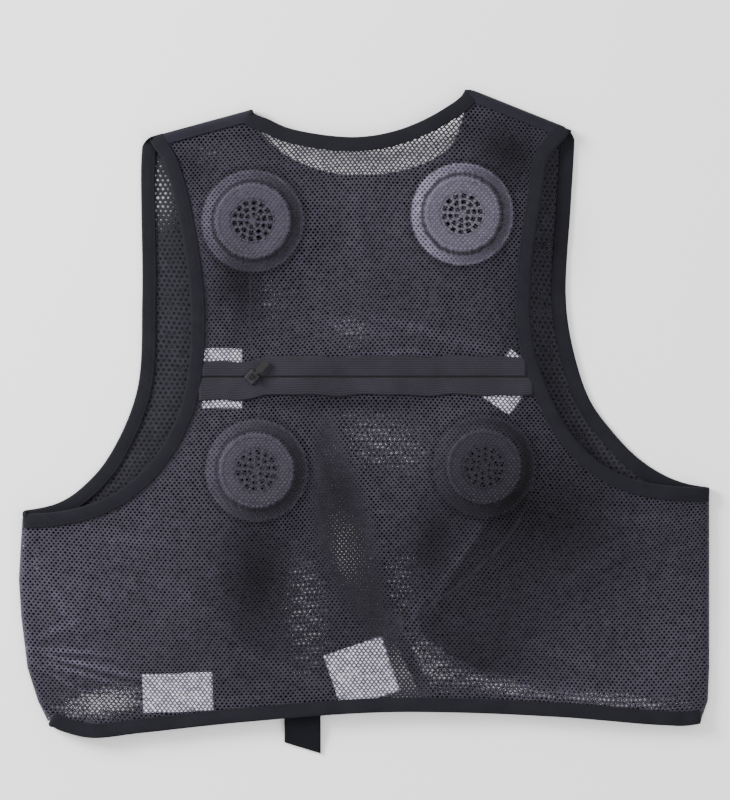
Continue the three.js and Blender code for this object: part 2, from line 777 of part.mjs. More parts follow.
function addSlider() {
  const centre = placed(sliderPlace);
  const seat = new THREE.Group();
  const level = foldLevel + backRise(centre.x, centre.y) + 2 * clearance + tapeWall;
  seat.position.set(centre.x, centre.y, level);
  seat.rotation.z = pullTurn;
  const pull = named('zip_pull', zipPull(), pullFinish);
  pull.position.z = barHeight;
  pull.rotation.y = pullDrop;
  seat.add(named('zip_slider', zipSlider(), zipFinish));
  seat.add(pull);
  vest.add(seat);
}

// Folded webbing that hangs out of the hem and lies down on the floor
const strapPlace = { x: -0.178, y: 0.0 };
const strapWidth = 29;
const strapSlope = THREE.MathUtils.degToRad(-17);
function addStrap() {
  const low = frontFace + meshWall + outerFlap + clearance;
  const bend = -outerFlap - 2 * clearance;
  const side = [[strapTuck, low], [bend - 6, low], [-strapReach + 4, 0], [-strapReach, 0]];
  const top = side.map(([y, z]) => [y, z + strapWall]).reverse();
  const profile = new THREE.Shape([...side, ...top].map(([y, z]) => new THREE.Vector2(y, z)));
  const run = new THREE.ExtrudeGeometry(profile, { depth: 2 * strapWidth, bevelEnabled: false });
  run.translate(0, 0, -strapWidth);
  run.rotateY(Math.PI / 2);
  run.rotateX(Math.PI / 2);
  const fall = Math.tan(strapSlope) * strapWidth;
  const corners = [[-strapWidth / 2, strapTuck], [-strapWidth / 2, -strapReach - fall - 2]];
  corners.push([strapWidth / 2 - 4, -strapReach - 0.2], [strapWidth / 2, -strapReach + 3]);
  corners.push([strapWidth / 2, strapTuck]);
  const outline = prism(corners.map((corner) => new THREE.Vector2(...corner)), -farZ, farZ);
  const strap = named('strap_tail', solidOf(run).intersect(outline), strapFinish);
  strap.position.set(...placed(strapPlace), 0);
  vest.add(strap);
}

addCloth();
addBindings();
addTapes();
addFrontTapes();
addPatches();
addFans();
addLeads();
addSlider();
addStrap();

// The origin is under the middle of the vest, on the floor
const extent = new THREE.Box3().setFromObject(vest);
vest.position.set(-(extent.min.x + extent.max.x) / 2, -(extent.min.y + extent.max.y) / 2, -extent.min.z);

export default vest;
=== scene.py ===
import math
import bpy
import bmesh
import numpy as np
from mathutils import Matrix, Vector
from mathutils.bvhtree import BVHTree


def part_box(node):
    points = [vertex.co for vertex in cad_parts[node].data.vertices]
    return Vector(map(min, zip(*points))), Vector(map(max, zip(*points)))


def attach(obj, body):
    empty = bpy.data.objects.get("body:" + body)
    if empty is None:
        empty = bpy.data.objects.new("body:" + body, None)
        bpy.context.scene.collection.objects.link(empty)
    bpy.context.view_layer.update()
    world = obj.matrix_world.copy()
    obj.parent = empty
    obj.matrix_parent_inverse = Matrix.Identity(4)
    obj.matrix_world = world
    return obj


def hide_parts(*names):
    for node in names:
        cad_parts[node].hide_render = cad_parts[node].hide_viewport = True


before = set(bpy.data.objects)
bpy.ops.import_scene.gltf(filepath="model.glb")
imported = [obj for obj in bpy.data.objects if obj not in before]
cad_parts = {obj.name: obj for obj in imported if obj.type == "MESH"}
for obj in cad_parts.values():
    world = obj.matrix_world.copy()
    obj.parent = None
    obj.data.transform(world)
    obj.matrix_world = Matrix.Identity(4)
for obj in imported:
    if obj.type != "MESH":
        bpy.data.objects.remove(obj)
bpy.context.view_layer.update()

mm = 0.001
rng = np.random.RandomState(11)
fanNames = ["upper_left", "upper_right", "lower_left", "lower_right"]


# camera: straight above the vest, as in the photo, which is 800 pixels high
view = {"pixel": 0.8 * mm, "high": 800, "centre": (0.0004, 0.0126), "distance": 3.0, "aim": 0.012}


def makeCamera():
    data = bpy.data.cameras.new("camera")
    camera = bpy.data.objects.new("camera", data)
    bpy.context.scene.collection.objects.link(camera)
    camera.location = (*view["centre"], view["distance"])
    data.sensor_fit = "VERTICAL"
    halfHigh = view["high"] * view["pixel"] / 2
    data.lens = data.sensor_height / 2 * (view["distance"] - view["aim"]) / halfHigh
    bpy.context.scene.camera = camera


makeCamera()


# where things are, from the frame
def centreOf(node):
    low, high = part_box(node)
    return (low + high) / 2


fanCentre = {name: centreOf("fan_housing_" + name) for name in fanNames}
halfWidth, backLength, zipHeight = 277 * mm, 504 * mm, 273.6 * mm
fanShare = {"x": -0.321, "y": 0.79}        # place of the upper left fan, as the model has it
middleX = fanCentre["upper_left"].x - fanShare["x"] * halfWidth
hemY = fanCentre["upper_left"].y - fanShare["y"] * backLength
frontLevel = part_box("front_left_panel")[0].z + 0.6 * mm        # middle of the front nets
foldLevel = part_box("front_left_panel")[1].z
fanBase, drumTop = (corner.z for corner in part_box("fan_housing_upper_left"))


def shareX(x):
    return middleX + np.asarray(x) * halfWidth


def shareY(y):
    return hemY + np.asarray(y) * backLength


zipY = float(shareY(zipHeight / backLength))
sideTop = shareY(0.42)        # the side folds end here, under the arms
shoulderBase = shareY(0.85)        # above this a place may lie on a shoulder
foldRound = 9 * mm
shoulderFrom, shoulderSteep = 0.3 * halfWidth, 1.8        # the shoulders start here and fall faster

# edges of the cloth in shares of the half width and the back length. Columns of sideRows: y, left x, right x.
sideRows = [(-0.08, -0.9, 0.955), (-0.02, -0.905, 0.965), (0.0, -0.92, 0.978), (0.028, -0.945, 0.996),
            (0.08, -0.975, 1.0), (0.16, -0.993, 1.0), (0.22, -1.0, 1.0), (0.33, -0.989, 1.0),
            (0.37, -0.975, 1.0), (0.46, -0.875, 0.92), (0.6, -0.79, 0.79), (1.0, -0.765, 0.765)]
shoulderRows = [(-0.8, 0.897), (-0.642, 0.921), (-0.328, 0.968), (0.31, 1.0), (0.615, 0.933), (0.8, 0.89)]
edgeRows = {
    "leftBack": [(-0.635, 1.0), (-0.628, 0.93), (-0.578, 0.881), (-0.531, 0.786), (-0.5, 0.645),
                 (-0.516, 0.524), (-0.556, 0.46), (-0.635, 0.397), (-0.74, 0.353), (-0.866, 0.331),
                 (-1.1, 0.323)],
    "leftFront": [(-0.635, 1.0), (-0.64, 0.93), (-0.646, 0.881), (-0.643, 0.667), (-0.657, 0.524),
                  (-0.726, 0.429), (-0.791, 0.381), (-0.885, 0.343), (-1.1, 0.323)],
    "rightBack": [(0.603, 1.02), (0.594, 0.933), (0.536, 0.893), (0.513, 0.829), (0.484, 0.714),
                  (0.487, 0.603), (0.542, 0.508), (0.621, 0.438), (0.711, 0.397), (0.82, 0.375),
                  (1.1, 0.365)],
    "rightFront": [(0.603, 1.02), (0.61, 0.933), (0.6, 0.825), (0.585, 0.667), (0.606, 0.587),
                   (0.653, 0.508), (0.711, 0.462), (0.801, 0.411), (0.913, 0.377), (1.1, 0.361)],
    "neckBack": [(-0.345, 1.05), (-0.329, 0.968), (-0.274, 0.952), (-0.209, 0.937), (-0.025, 0.924),
                 (0.108, 0.937), (0.227, 0.968), (0.296, 1.0), (0.32, 1.07)],
    "neckFront": [(-0.345, 1.05), (-0.325, 0.965), (-0.28, 0.92), (-0.18, 0.883), (-0.04, 0.865),
                  (0.144, 0.877), (0.253, 0.913), (0.3, 0.99), (0.32, 1.07)],
    "openLeft": [(-0.108, 0.468), (-0.139, 0.381), (-0.118, 0.286), (-0.055, 0.206), (0.023, 0.143),
                 (0.081, 0.024), (0.1, -0.06)],
    "openRight": [(-0.108, 0.468), (-0.04, 0.381), (0.006, 0.302), (0.029, 0.23), (0.068, 0.151),
                  (0.176, 0.024), (0.245, -0.06)],
    "hem": [(-1.2, 0.02), (-0.93, -0.006), (-0.87, -0.02), (-0.787, -0.03), (-0.64, -0.022), (-0.33, -0.004),
            (0.08, 0.011), (0.57, 0.003), (0.86, -0.01), (0.95, -0.01), (1.2, 0.03)],
}


# paths, distances and blurs
def runLength(points):        # how far along a path each of its points lies
    return np.concatenate([[0], np.cumsum(np.linalg.norm(np.diff(points, axis=0), axis=1))])


def lengthOf(points):
    return float(np.linalg.norm(np.diff(points, axis=0), axis=1).sum())


def resample(points, run, at):
    return np.stack([np.interp(at, run, column) for column in points.T], 1)


def smoothPath(rows, count=240):        # points evenly spaced along a centripetal curve through the rows
    rows = np.array(rows, float)
    points = np.stack([shareX(rows[:, 0]), shareY(rows[:, 1])], 1)
    points = np.vstack([2 * points[0] - points[1], points, 2 * points[-1] - points[-2]])
    out = []
    for i in range(1, len(points) - 2):
        p = points[i - 1:i + 3]
        knots = np.concatenate([[0], np.cumsum(np.linalg.norm(np.diff(p, axis=0), axis=1) ** 0.5)])
        t = np.linspace(knots[1], knots[2], 40, endpoint=False)[:, None]

        def mix(a, b, low, high):
            return ((high - t) * a + (t - low) * b) / (high - low)

        a1, a2, a3 = (mix(p[k], p[k + 1], knots[k], knots[k + 1]) for k in range(3))
        b1, b2 = mix(a1, a2, knots[0], knots[2]), mix(a2, a3, knots[1], knots[3])
        out.append(mix(b1, b2, knots[1], knots[2]))
    out = np.vstack(out + [points[-2][None]])
    run = runLength(out)
    return resample(out, run, np.linspace(0, run[-1], count))


paths = {name: smoothPath(rows) for name, rows in edgeRows.items()}


def rowValue(rows, at, column):
    rows = np.array(rows, float)
    return np.interp(at, rows[:, 0], rows[:, column])


def leftEdge(y):
    return shareX(rowValue(sideRows, (np.asarray(y) - hemY) / backLength, 1))


def rightEdge(y):
    return shareX(rowValue(sideRows, (np.asarray(y) - hemY) / backLength, 2))


def shoulderLine(x):
    return shareY(rowValue(shoulderRows, (np.asarray(x) - middleX) / halfWidth, 1))


def gaussian(field, sigma):        # a blur along both axes, sigma in grid steps
    reach = int(math.ceil(3 * sigma))
    kernel = np.exp(-0.5 * (np.arange(-reach, reach + 1) / sigma) ** 2)
    kernel /= kernel.sum()
    for axis in (0, 1):
        padded = np.pad(field, [(reach, reach) if k == axis else (0, 0) for k in (0, 1)], mode="edge")
        field = sum(w * np.roll(padded, reach - k, axis=axis) for k, w in enumerate(kernel))
        field = field[tuple(slice(reach, -reach) if k == axis else slice(None) for k in (0, 1))]
    return field


def distanceTo(path, x, y):        # distance of points from an open path
    x, y = np.ravel(x), np.ravel(y)
    best = np.full(x.shape, 1e9)
    for (ax, ay), (bx, by) in zip(path[:-1], path[1:]):
        dx, dy = bx - ax, by - ay
        t = np.clip(((x - ax) * dx + (y - ay) * dy) / (dx * dx + dy * dy + 1e-18), 0, 1)
        best = np.minimum(best, np.hypot(x - ax - t * dx, y - ay - t * dy))
    return best


def within(polygon, x, y):        # true where a point lies in a closed outline
    x, y = np.ravel(x), np.ravel(y)
    hit = np.zeros(x.shape, bool)
    for (ax, ay), (bx, by) in zip(polygon, np.roll(polygon, -1, axis=0)):
        crosses = (ay > y) != (by > y)
        with np.errstate(divide="ignore", invalid="ignore"):
            hit ^= crosses & (x < (bx - ax) * (y - ay) / (by - ay) + ax)
    return hit


# what each edge cuts away: its path, closed far outside the vest
far = 1.0
closings = {"leftBack": [(-far, 0), (-far, far)], "leftFront": [(-far, 0), (-far, far)],
            "rightBack": [(far, 0), (far, far)], "rightFront": [(far, 0), (far, far)],
            "neckBack": [(far, far), (-far, far)], "neckFront": [(far, far), (-far, far)],
            "hem": [(far, -far), (-far, -far)]}
holes = {name: np.vstack([paths[name], closings[name]]) for name in closings}
holes["opening"] = np.vstack([paths["openLeft"], paths["openRight"][::-1]])


# height of the back net: the model's own surface, smoothed, with creases. Blurs are in grid steps.
drape = {"step": 1.6 * mm, "x": (-0.30, 0.30), "y": (-0.275, 0.285), "rim": 9 * mm, "near": 5, "wide": 22,
         "overFront": 2.4 * mm, "overFold": 6 * mm, "calmFrom": 40 * mm, "calmOver": 12 * mm, "rounds": 8,
         "settle": 1.2, "last": 0.7}
rayFrom, foldSpare = 0.1, 1 * mm        # rays start above the vest, and hits near the fold don't count
crestHighlightShare = ([3, 9], [1.0, 0.25])        # a crease's width in mm, and how much painted highlight its crest gets
# noise in the cloth. Columns: size and height in mm.
noiseRows = [(16, 0.75), (9, 0.3), (4, 0.1)]
# least and greatest height of the net round a fan. Columns: distance from its middle, height.
fanFloor = [(0, drumTop + 0.6 * mm), (30.5 * mm, drumTop + 0.6 * mm), (41.7 * mm, fanBase + 14.2 * mm),
            (55 * mm, fanBase + 7 * mm), (70 * mm, 0)]
fanRoof = [(0, drumTop + 0.9 * mm), (31 * mm, drumTop + 0.9 * mm), (43 * mm, fanBase + 16.2 * mm),
           (60 * mm, 0.1), (75 * mm, 0.1)]
# creases. Columns: x, y, end x, end y in shares, width and height in mm.
creases = [
    (-0.975, 0.108, -0.72, 0.108, 3.2, 1.5), (-0.965, 0.095, -0.64, 0.078, 3.2, 1.8),
    (-0.87, 0.084, -0.63, 0.066, 3, 1.2), (-0.965, 0.086, -0.66, 0.057, 3.2, 1.4),
    (-0.97, 0.12, -0.8, 0.16, 4, 1.2), (-0.6, 0.24, -0.35, 0.12, 9, 1.6), (-0.1, 0.48, 0.15, 0.25, 9, 1.8),
    (-0.25, 0.32, 0.05, 0.08, 9, 1.6), (0.55, 0.2, 0.85, 0.3, 9, 1.4), (-0.05, 0.85, 0.02, 0.68, 9, 1.4),
    (0.45, 0.12, 0.8, 0.06, 7, 1.1), (-0.42, 0.12, -0.1, 0.05, 6, 1.2), (-0.85, 0.3, -0.5, 0.27, 8, 1.1),
    (0.1, 0.62, 0.4, 0.58, 5, 0.9), (-0.16, 0.64, 0.12, 0.6, 6, 1.0), (0.62, 0.33, 0.97, 0.3, 7, 1.0),
    (-0.4, 0.6, -0.36, 0.7, 6, 0.8), (-0.95, 0.25, -0.8, 0.12, 6, 1.0), (0.1, 0.2, 0.3, 0.05, 8, 1.2),
    (-0.22, 0.5, -0.05, 0.3, 7, 1.0), (0.03, 0.64, 0.3, 0.6, 4, 0.8), (-0.1, 0.575, 0.25, 0.585, 4, 0.7),
    (-0.2, 0.525, 0.2, 0.515, 4, 0.6), (0.37, 0.33, 0.13, 0.12, 4, 1.4),
]


def backTree():        # the model's back, to cast rays on
    points, faces = [], []
    for name in ("back_yoke", "back_lower"):
        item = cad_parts[name]
        start = len(points)
        points += [item.matrix_world @ v.co for v in item.data.vertices]
        faces += [[start + i for i in p.vertices] for p in item.data.polygons]
    return BVHTree.FromPolygons(points, faces)


def modelHeight(gx, gy):        # the model's height where it is known, blurred into the gaps
    tree = backTree()
    raw = np.full(gx.shape, np.nan)
    keep = (gx > leftEdge(gy) + drape["rim"]) & (gx < rightEdge(gy) - drape["rim"])
    for i, j in zip(*np.nonzero(keep)):
        hit = tree.ray_cast(Vector((gx[i, j], gy[i, j], rayFrom)), Vector((0, 0, -1)))
        if hit[0] is not None and hit[0].z > foldLevel + foldSpare:
            raw[i, j] = hit[0].z
    known = ~np.isnan(raw)
    value = np.where(known, raw, 0)
    weight = gaussian(known.astype(float), drape["near"])
    near = gaussian(value, drape["near"]) / np.maximum(weight, 1e-6)
    wideWeight = gaussian(known.astype(float), drape["wide"])
    wide = gaussian(value, drape["wide"]) / np.maximum(wideWeight, 1e-9)
    wide = np.where(wideWeight > 1e-6, wide, foldLevel + drape["overFold"])
    return np.where(weight > 0.02, near, wide)


def makeField():
    xs = np.arange(*drape["x"], drape["step"])
    ys = np.arange(*drape["y"], drape["step"])
    gx, gy = np.meshgrid(xs, ys, indexing="ij")
    height = modelHeight(gx, gy)
    floor = np.full(gx.shape, frontLevel + drape["overFront"])
    calm = np.ones(gx.shape)        # 0 over the fans, where the net is tight
    for name in fanNames:
        away = np.hypot(gx - fanCentre[name].x, gy - fanCentre[name].y)
        floor = np.maximum(floor, np.interp(away, *zip(*fanFloor)))
        height = np.minimum(height, np.interp(away, *zip(*fanRoof)))
        calm *= np.clip((away - drape["calmFrom"]) / drape["calmOver"], 0, 1)
    for turn in range(drape["rounds"]):
        height = np.maximum(gaussian(height, drape["settle"]), floor)
    # where each crease's crest gets a painted highlight
    crestHighlight = np.zeros(gx.shape)
    for ax, ay, bx, by, wide, high in creases:
        startX, startY = shareX(ax), shareY(ay)
        dx, dy = shareX(bx) - startX, shareY(by) - startY
        t = ((gx - startX) * dx + (gy - startY) * dy) / (dx * dx + dy * dy)
        off = ((gy - startY) * dx - (gx - startX) * dy) / math.hypot(dx, dy)
        swell = np.exp(-0.5 * (off / (wide * 0.5 * mm)) ** 2)
        swell *= np.clip(np.sin(np.clip(t, 0, 1) * math.pi), 0, 1)
        height += high * mm * swell * calm
        crestHighlight += swell * np.interp(wide, *crestHighlightShare) * calm
    for size, high in noiseRows:
        noise = gaussian(rng.standard_normal(gx.shape), size * mm / drape["step"])
        height += noise / noise.std() * high * mm * calm
    height = np.maximum(gaussian(height, drape["last"]), floor)
    return {"x": xs, "y": ys, "z": height, "crestHighlight": crestHighlight}


heights = makeField()
print("height field made", flush=True)


def fieldAt(key, x, y):        # a value of the field between its grid points
    fx = np.clip((np.asarray(x) - heights["x"][0]) / drape["step"], 0, len(heights["x"]) - 1.001)
    fy = np.clip((np.asarray(y) - heights["y"][0]) / drape["step"], 0, len(heights["y"]) - 1.001)
    i, j = fx.astype(int), fy.astype(int)
    u, v = fx - i, fy - j
    z = heights[key]
    return ((1 - u) * (1 - v) * z[i, j] + u * (1 - v) * z[i + 1, j]
            + (1 - u) * v * z[i, j + 1] + u * v * z[i + 1, j + 1])


def edgeFall(x, y):        # 1 away from the side and shoulder folds, 0 on them, round between
    gap = np.minimum(np.asarray(x) - leftEdge(y), rightEdge(y) - np.asarray(x))
    gap = np.where(np.asarray(y) < sideTop, gap, 1.0)
    top = shoulderLine(x) - np.asarray(y)
    top = np.where(np.abs(np.asarray(x) - middleX) > shoulderFrom, top * shoulderSteep, 1.0)
    near = np.clip(np.minimum(gap, top) / foldRound, 0, 1)
    return np.sqrt(np.clip(1 - (1 - near) ** 2, 0, 1))


def backZ(x, y):        # middle of the back net
    low = frontLevel + 1.2 * mm
    return low + (fieldAt("z", x, y) - low) * edgeFall(x, y)


def frontZ(x, y):        # middle of the front nets, which lie on the floor with a faint wave
    x, y = np.asarray(x), np.asarray(y)
    return frontLevel + 0.25 * mm * np.sin(x * 91 + 2 * np.sin(y * 47)) * np.sin(y * 73 + 1.4)


# small makers
def linear(colour):        # sRGB hex to linear
    parts = [int(colour[i:i + 2], 16) / 255 for i in (1, 3, 5)]
    return tuple(c / 12.92 if c <= 0.04045 else ((c + 0.055) / 1.055) ** 2.4 for c in parts)


def meshFrom(name, build):
    data = bpy.data.meshes.new(name)
    bm = bmesh.new()
    build(bm)
    bm.to_mesh(data)
    bm.free()
    return data


def pieceOf(name, data, finish, body="vest", smooth=True):
    item = bpy.data.objects.new(name + "_look", data)
    bpy.context.scene.collection.objects.link(item)
    data.materials.append(finish)
    if smooth:
        data.polygons.foreach_set("use_smooth", [True] * len(data.polygons))
    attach(item, body)
    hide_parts(name)
    return item


def gridMesh(name, points, closeRows=False, closeColumns=False):
    # a sheet of quads through points[row, column], with uv in metres
    rows, columns = points.shape[:2]
    along = np.zeros((rows, columns))
    wide = np.zeros((rows, columns))
    along[1:] = np.cumsum(np.linalg.norm(np.diff(points, axis=0), axis=2).mean(axis=1))[:, None]
    wide[:, 1:] = np.cumsum(np.linalg.norm(np.diff(points, axis=1), axis=2), axis=1)

    def build(bm):
        bmesh.ops.create_grid(bm, x_segments=rows - 1, y_segments=columns - 1, size=1.0)
        layer = bm.loops.layers.uv.new("cloth")
        place = {}
        for v in bm.verts:
            place[v] = tuple(int(round((c + 1) / 2 * (n - 1))) for c, n in zip(v.co.xy, (rows, columns)))
        for face in bm.faces:
            for loop in face.loops:
                loop[layer].uv = (along[place[loop.vert]], wide[place[loop.vert]])
        for v, at in place.items():
            v.co = points[at]
        if closeRows or closeColumns:
            bmesh.ops.remove_doubles(bm, verts=bm.verts, dist=1e-6)
        if closeColumns and not closeRows:
            bmesh.ops.holes_fill(bm, edges=bm.edges[:], sides=0)

    return meshFrom(name, build)


def unit(v):
    return v / np.maximum(np.linalg.norm(v, axis=-1, keepdims=True), 1e-12)


def ribbon(points, sides, section, closed=False):
    # section rows (across, out) carried along points. sides point across the ribbon.
    if closed:
        tangent = unit(np.roll(points, -1, axis=0) - np.roll(points, 1, axis=0))
    else:
        tangent = unit(np.gradient(points, axis=0))
    sides = unit(sides - (sides * tangent).sum(1, keepdims=True) * tangent)
    out = np.cross(sides, tangent)
    section = np.asarray(section, float)[None]
    grid = points[:, None, :] + section[..., 0:1] * sides[:, None, :] + section[..., 1:2] * out[:, None, :]
    if closed:
        grid = np.concatenate([grid, grid[:1]], axis=0)
    return grid


def lathe(bm, profile, steps):        # a turned body from (radius, height) rows
    verts = [bm.verts.new((r, 0, z)) for r, z in profile]
    edges = [bm.edges.new(pair) for pair in zip(verts[:-1], verts[1:])]
    bmesh.ops.spin(bm, geom=verts + edges, cent=(0, 0, 0), axis=(0, 0, 1), angle=2 * math.pi, steps=steps,
                   use_merge=True)
    bmesh.ops.remove_doubles(bm, verts=bm.verts, dist=1e-6)
    bmesh.ops.recalc_face_normals(bm, faces=bm.faces)


def addBlock(bm, size, centre=(0, 0, 0)):
    made = bmesh.ops.create_cube(bm, size=1.0)["verts"]
    bmesh.ops.scale(bm, verts=made, vec=size)
    bmesh.ops.translate(bm, verts=made, vec=centre)
    return made


def bevelEdges(bm, edges, offset, segments=3):
    bmesh.ops.bevel(bm, geom=edges, offset=offset, segments=segments, affect="EDGES", profile=0.5,
                    material=-1)


def turnVerts(bm, verts, angle, axis):
    bmesh.ops.rotate(bm, verts=verts, cent=(0, 0, 0), matrix=Matrix.Rotation(angle, 3, axis))


def giveWall(bm, depth):        # flat faces get a wall along z
    made = bmesh.ops.extrude_face_region(bm, geom=bm.faces[:])["geom"]
    bmesh.ops.translate(bm, verts=[g for g in made if isinstance(g, bmesh.types.BMVert)], vec=(0, 0, depth))
    bmesh.ops.recalc_face_normals(bm, faces=bm.faces)


# materials
waveRepeat = 0.314        # a wave texture of scale 1 repeats after this many metres


def addNode(tree, kind, inputs=None, **settings):
    item = tree.nodes.new(kind)
    for key, value in settings.items():
        setattr(item, key, value)
    for key, value in (inputs or {}).items():
        if isinstance(value, bpy.types.NodeSocket):
            tree.links.new(value, item.inputs[key])
        else:
            item.inputs[key].default_value = value
    return item


def finishOf(name, colour, rough, sheen=0.0, spots=None, bump=None, ribs=None, coat=0.0, toned=False,
             shine=0.5):
    # spots (size, share) vary the colour. bump is (size, height), ribs are (pitch, height, axis) on the uv.
    material = bpy.data.materials.new(name)
    material.use_nodes = True
    tree = material.node_tree
    shader = tree.nodes["Principled BSDF"]
    base = linear(colour)
    for key, value in {"Roughness": rough, "Specular IOR Level": shine, "Sheen Weight": sheen,
                       "Sheen Roughness": 0.4, "Coat Weight": coat, "Coat Roughness": 0.15,
                       "Base Color": (*base, 1)}.items():
        shader.inputs[key].default_value = value
    place = addNode(tree, "ShaderNodeTexCoord").outputs["Object"]
    if spots:
        noise = addNode(tree, "ShaderNodeTexNoise", {"Vector": place, "Scale": 1 / spots[0], "Detail": 4.0,
                                                     "Roughness": 0.6})
        mix = addNode(tree, "ShaderNodeMix", {"Factor": noise.outputs["Fac"]}, data_type="RGBA")
        mix.inputs["A"].default_value = (*(c * (1 - spots[1]) for c in base), 1)
        mix.inputs["B"].default_value = (*(min(c * (1 + spots[1]), 1) for c in base), 1)
        hue = mix.outputs["Result"]
        if toned:        # the net's own points carry the yarn's random tone and its painted light and shade
            toneAndPaintedLight = addNode(tree, "ShaderNodeAttribute", attribute_name="toneAndPaintedLight").outputs["Fac"]
            times = addNode(tree, "ShaderNodeVectorMath", {0: hue, 1: toneAndPaintedLight}, operation="MULTIPLY")
            hue = times.outputs["Vector"]
        tree.links.new(hue, shader.inputs["Base Color"])
    normal = None
    if bump:
        grain = addNode(tree, "ShaderNodeTexNoise", {"Vector": place, "Scale": 1 / bump[0], "Detail": 3.0,
                                                     "Roughness": 0.55})
        relief = addNode(tree, "ShaderNodeBump", {"Height": grain.outputs["Fac"], "Distance": bump[1],
                                                  "Strength": 0.6})
        normal = relief.outputs["Normal"]
    if ribs:
        cloth = addNode(tree, "ShaderNodeUVMap", uv_map="cloth").outputs["UV"]
        wave = addNode(tree, "ShaderNodeTexWave", {"Vector": cloth, "Scale": waveRepeat / ribs[0],
                                                   "Distortion": 0.0},
                       wave_type="BANDS", bands_direction=ribs[2], wave_profile="SIN")
        relief = addNode(tree, "ShaderNodeBump", {"Height": wave.outputs["Fac"], "Distance": ribs[1],
                                                  "Strength": 0.8})
        if normal is not None:
            tree.links.new(normal, relief.inputs["Normal"])
        normal = relief.outputs["Normal"]
    if normal is not None:
        tree.links.new(normal, shader.inputs["Normal"])
    return material


fanGrain = (0.556 * mm, 0.05 * mm)        # size and height of a moulded surface's grain
finishes = {
    # warp-knitted polyester yarn, matt, with soft uneven tones; painted light and shade come from the net's
    # points
    "backNet": finishOf("polyester mesh, back", "#322f39", 0.75, 0.04, (28.57 * mm, 0.15), toned=True,
                        shine=0.12),
    "frontNet": finishOf("polyester mesh, front", "#2b2a31", 0.8, 0.02, (28.57 * mm, 0.15), toned=True,
                         shine=0.1),
    # knitted elastic, with fine ribs along the tape that break up its light
    "elastic": finishOf("knitted elastic binding", "#1d1d22", 0.85, 0.02, (16.7 * mm, 0.3),
                        (1.43 * mm, 0.25 * mm), (0.9 * mm, 0.2 * mm, "Y"), shine=0.05),
    # woven tape, dull, with ribs across it
    "tape": finishOf("woven seam tape", "#222129", 0.85, 0.02, (16.7 * mm, 0.3), (1.43 * mm, 0.25 * mm),
                     (0.8 * mm, 0.2 * mm, "X"), shine=0.05),
    # woven zip tape, with ribs as coarse as the photo shows them
    "zipTape": finishOf("ribbed zip tape", "#232128", 0.75, 0.03, (20 * mm, 0.4), (1.43 * mm, 0.4 * mm),
                        (1.9 * mm, 0.35 * mm, "Y"), shine=0.15),
    # nylon, smooth and dark, drawn nearly black so it reads as a dark line: the coil's own dark colour with
    # painted shade of the narrow gap between the tapes
    "coilGapShade": finishOf("nylon zip coil", "#0b0b0f", 0.5, shine=0.2),
    # lacquered zinc, black with a soft highlight
    "slider": finishOf("lacquered zip slider", "#1c1b22", 0.4, shine=0.3),
    "pull": finishOf("lacquered zinc zip pull", "#060608", 0.3, coat=0.15, shine=0.3),
    # moulded polypropylene, half matt with a fine grain
    "fan": finishOf("moulded polypropylene fan", "#3c3a45", 0.5, bump=fanGrain, shine=0.3),
    "fanPale": finishOf("moulded polypropylene fan, paler", "#5a5864", 0.45, bump=fanGrain, shine=0.35),
    "fanDark": finishOf("moulded polypropylene fan, darker", "#292832", 0.5, bump=fanGrain, shine=0.2),
    "rotor": finishOf("moulded rotor", "#15151a", 0.5, shine=0.2),
    # looped nylon cloth, nearly white, that scatters light
    "patch": finishOf("hook-and-loop patch", "#f2f1fb", 0.9, 0.1, (2.5 * mm, 0.06), (0.667 * mm, 0.3 * mm)),
    # soft rubber, dark grey and dull
    "lead": finishOf("rubber lead", "#2c2c34", 0.5, shine=0.3),
    # dense polyester webbing, black, with ribs along it
    "strap": finishOf("polyester webbing", "#101016", 0.8, 0.03, (12.5 * mm, 0.12),
                      ribs=(1.1 * mm, 0.2 * mm, "Y"), shine=0.1),
}


# nets: one ring of faces round each hole, highest along the middle of its threads
nets = {
    "back": {"across": 3.6 * mm, "along": 4.46 * mm, "thread": 1.5 * mm, "ridge": 0.42 * mm, "hole": 1.0,
             "surface": backZ, "finish": "backNet", "slot": "back_mesh"},
    "front": {"across": 4.2 * mm, "along": 7.27 * mm, "thread": 1.5 * mm, "ridge": 0.5 * mm, "hole": 0.16,
              "surface": frontZ, "finish": "frontNet", "slot": "front_mesh"},
}
cellPoints = 12        # points to a cell
slackShare = 0.22        # the back net draws together over the front opening
holeLimits, holeSpread = (0.12, 1.42), 0.09        # least and greatest hole, and how uneven they are
# shares of the yarn's tone: painted glow over the pale patches, painted shade over the front opening, painted
# highlight on crease crests, painted shade round the back net's holes, and random spread from cell to cell
toneAndPaintedLightShares = {"patch": 1.6, "opening": 0.4, "crestHighlight": 0.45, "holeEdgeShade": 0.8, "spread": 0.1}
frontHoleShade = {"least": 0.12, "rise": 1.6}        # painted shade: the yarn round the front nets' holes is drawn dark, darkest round the narrowest
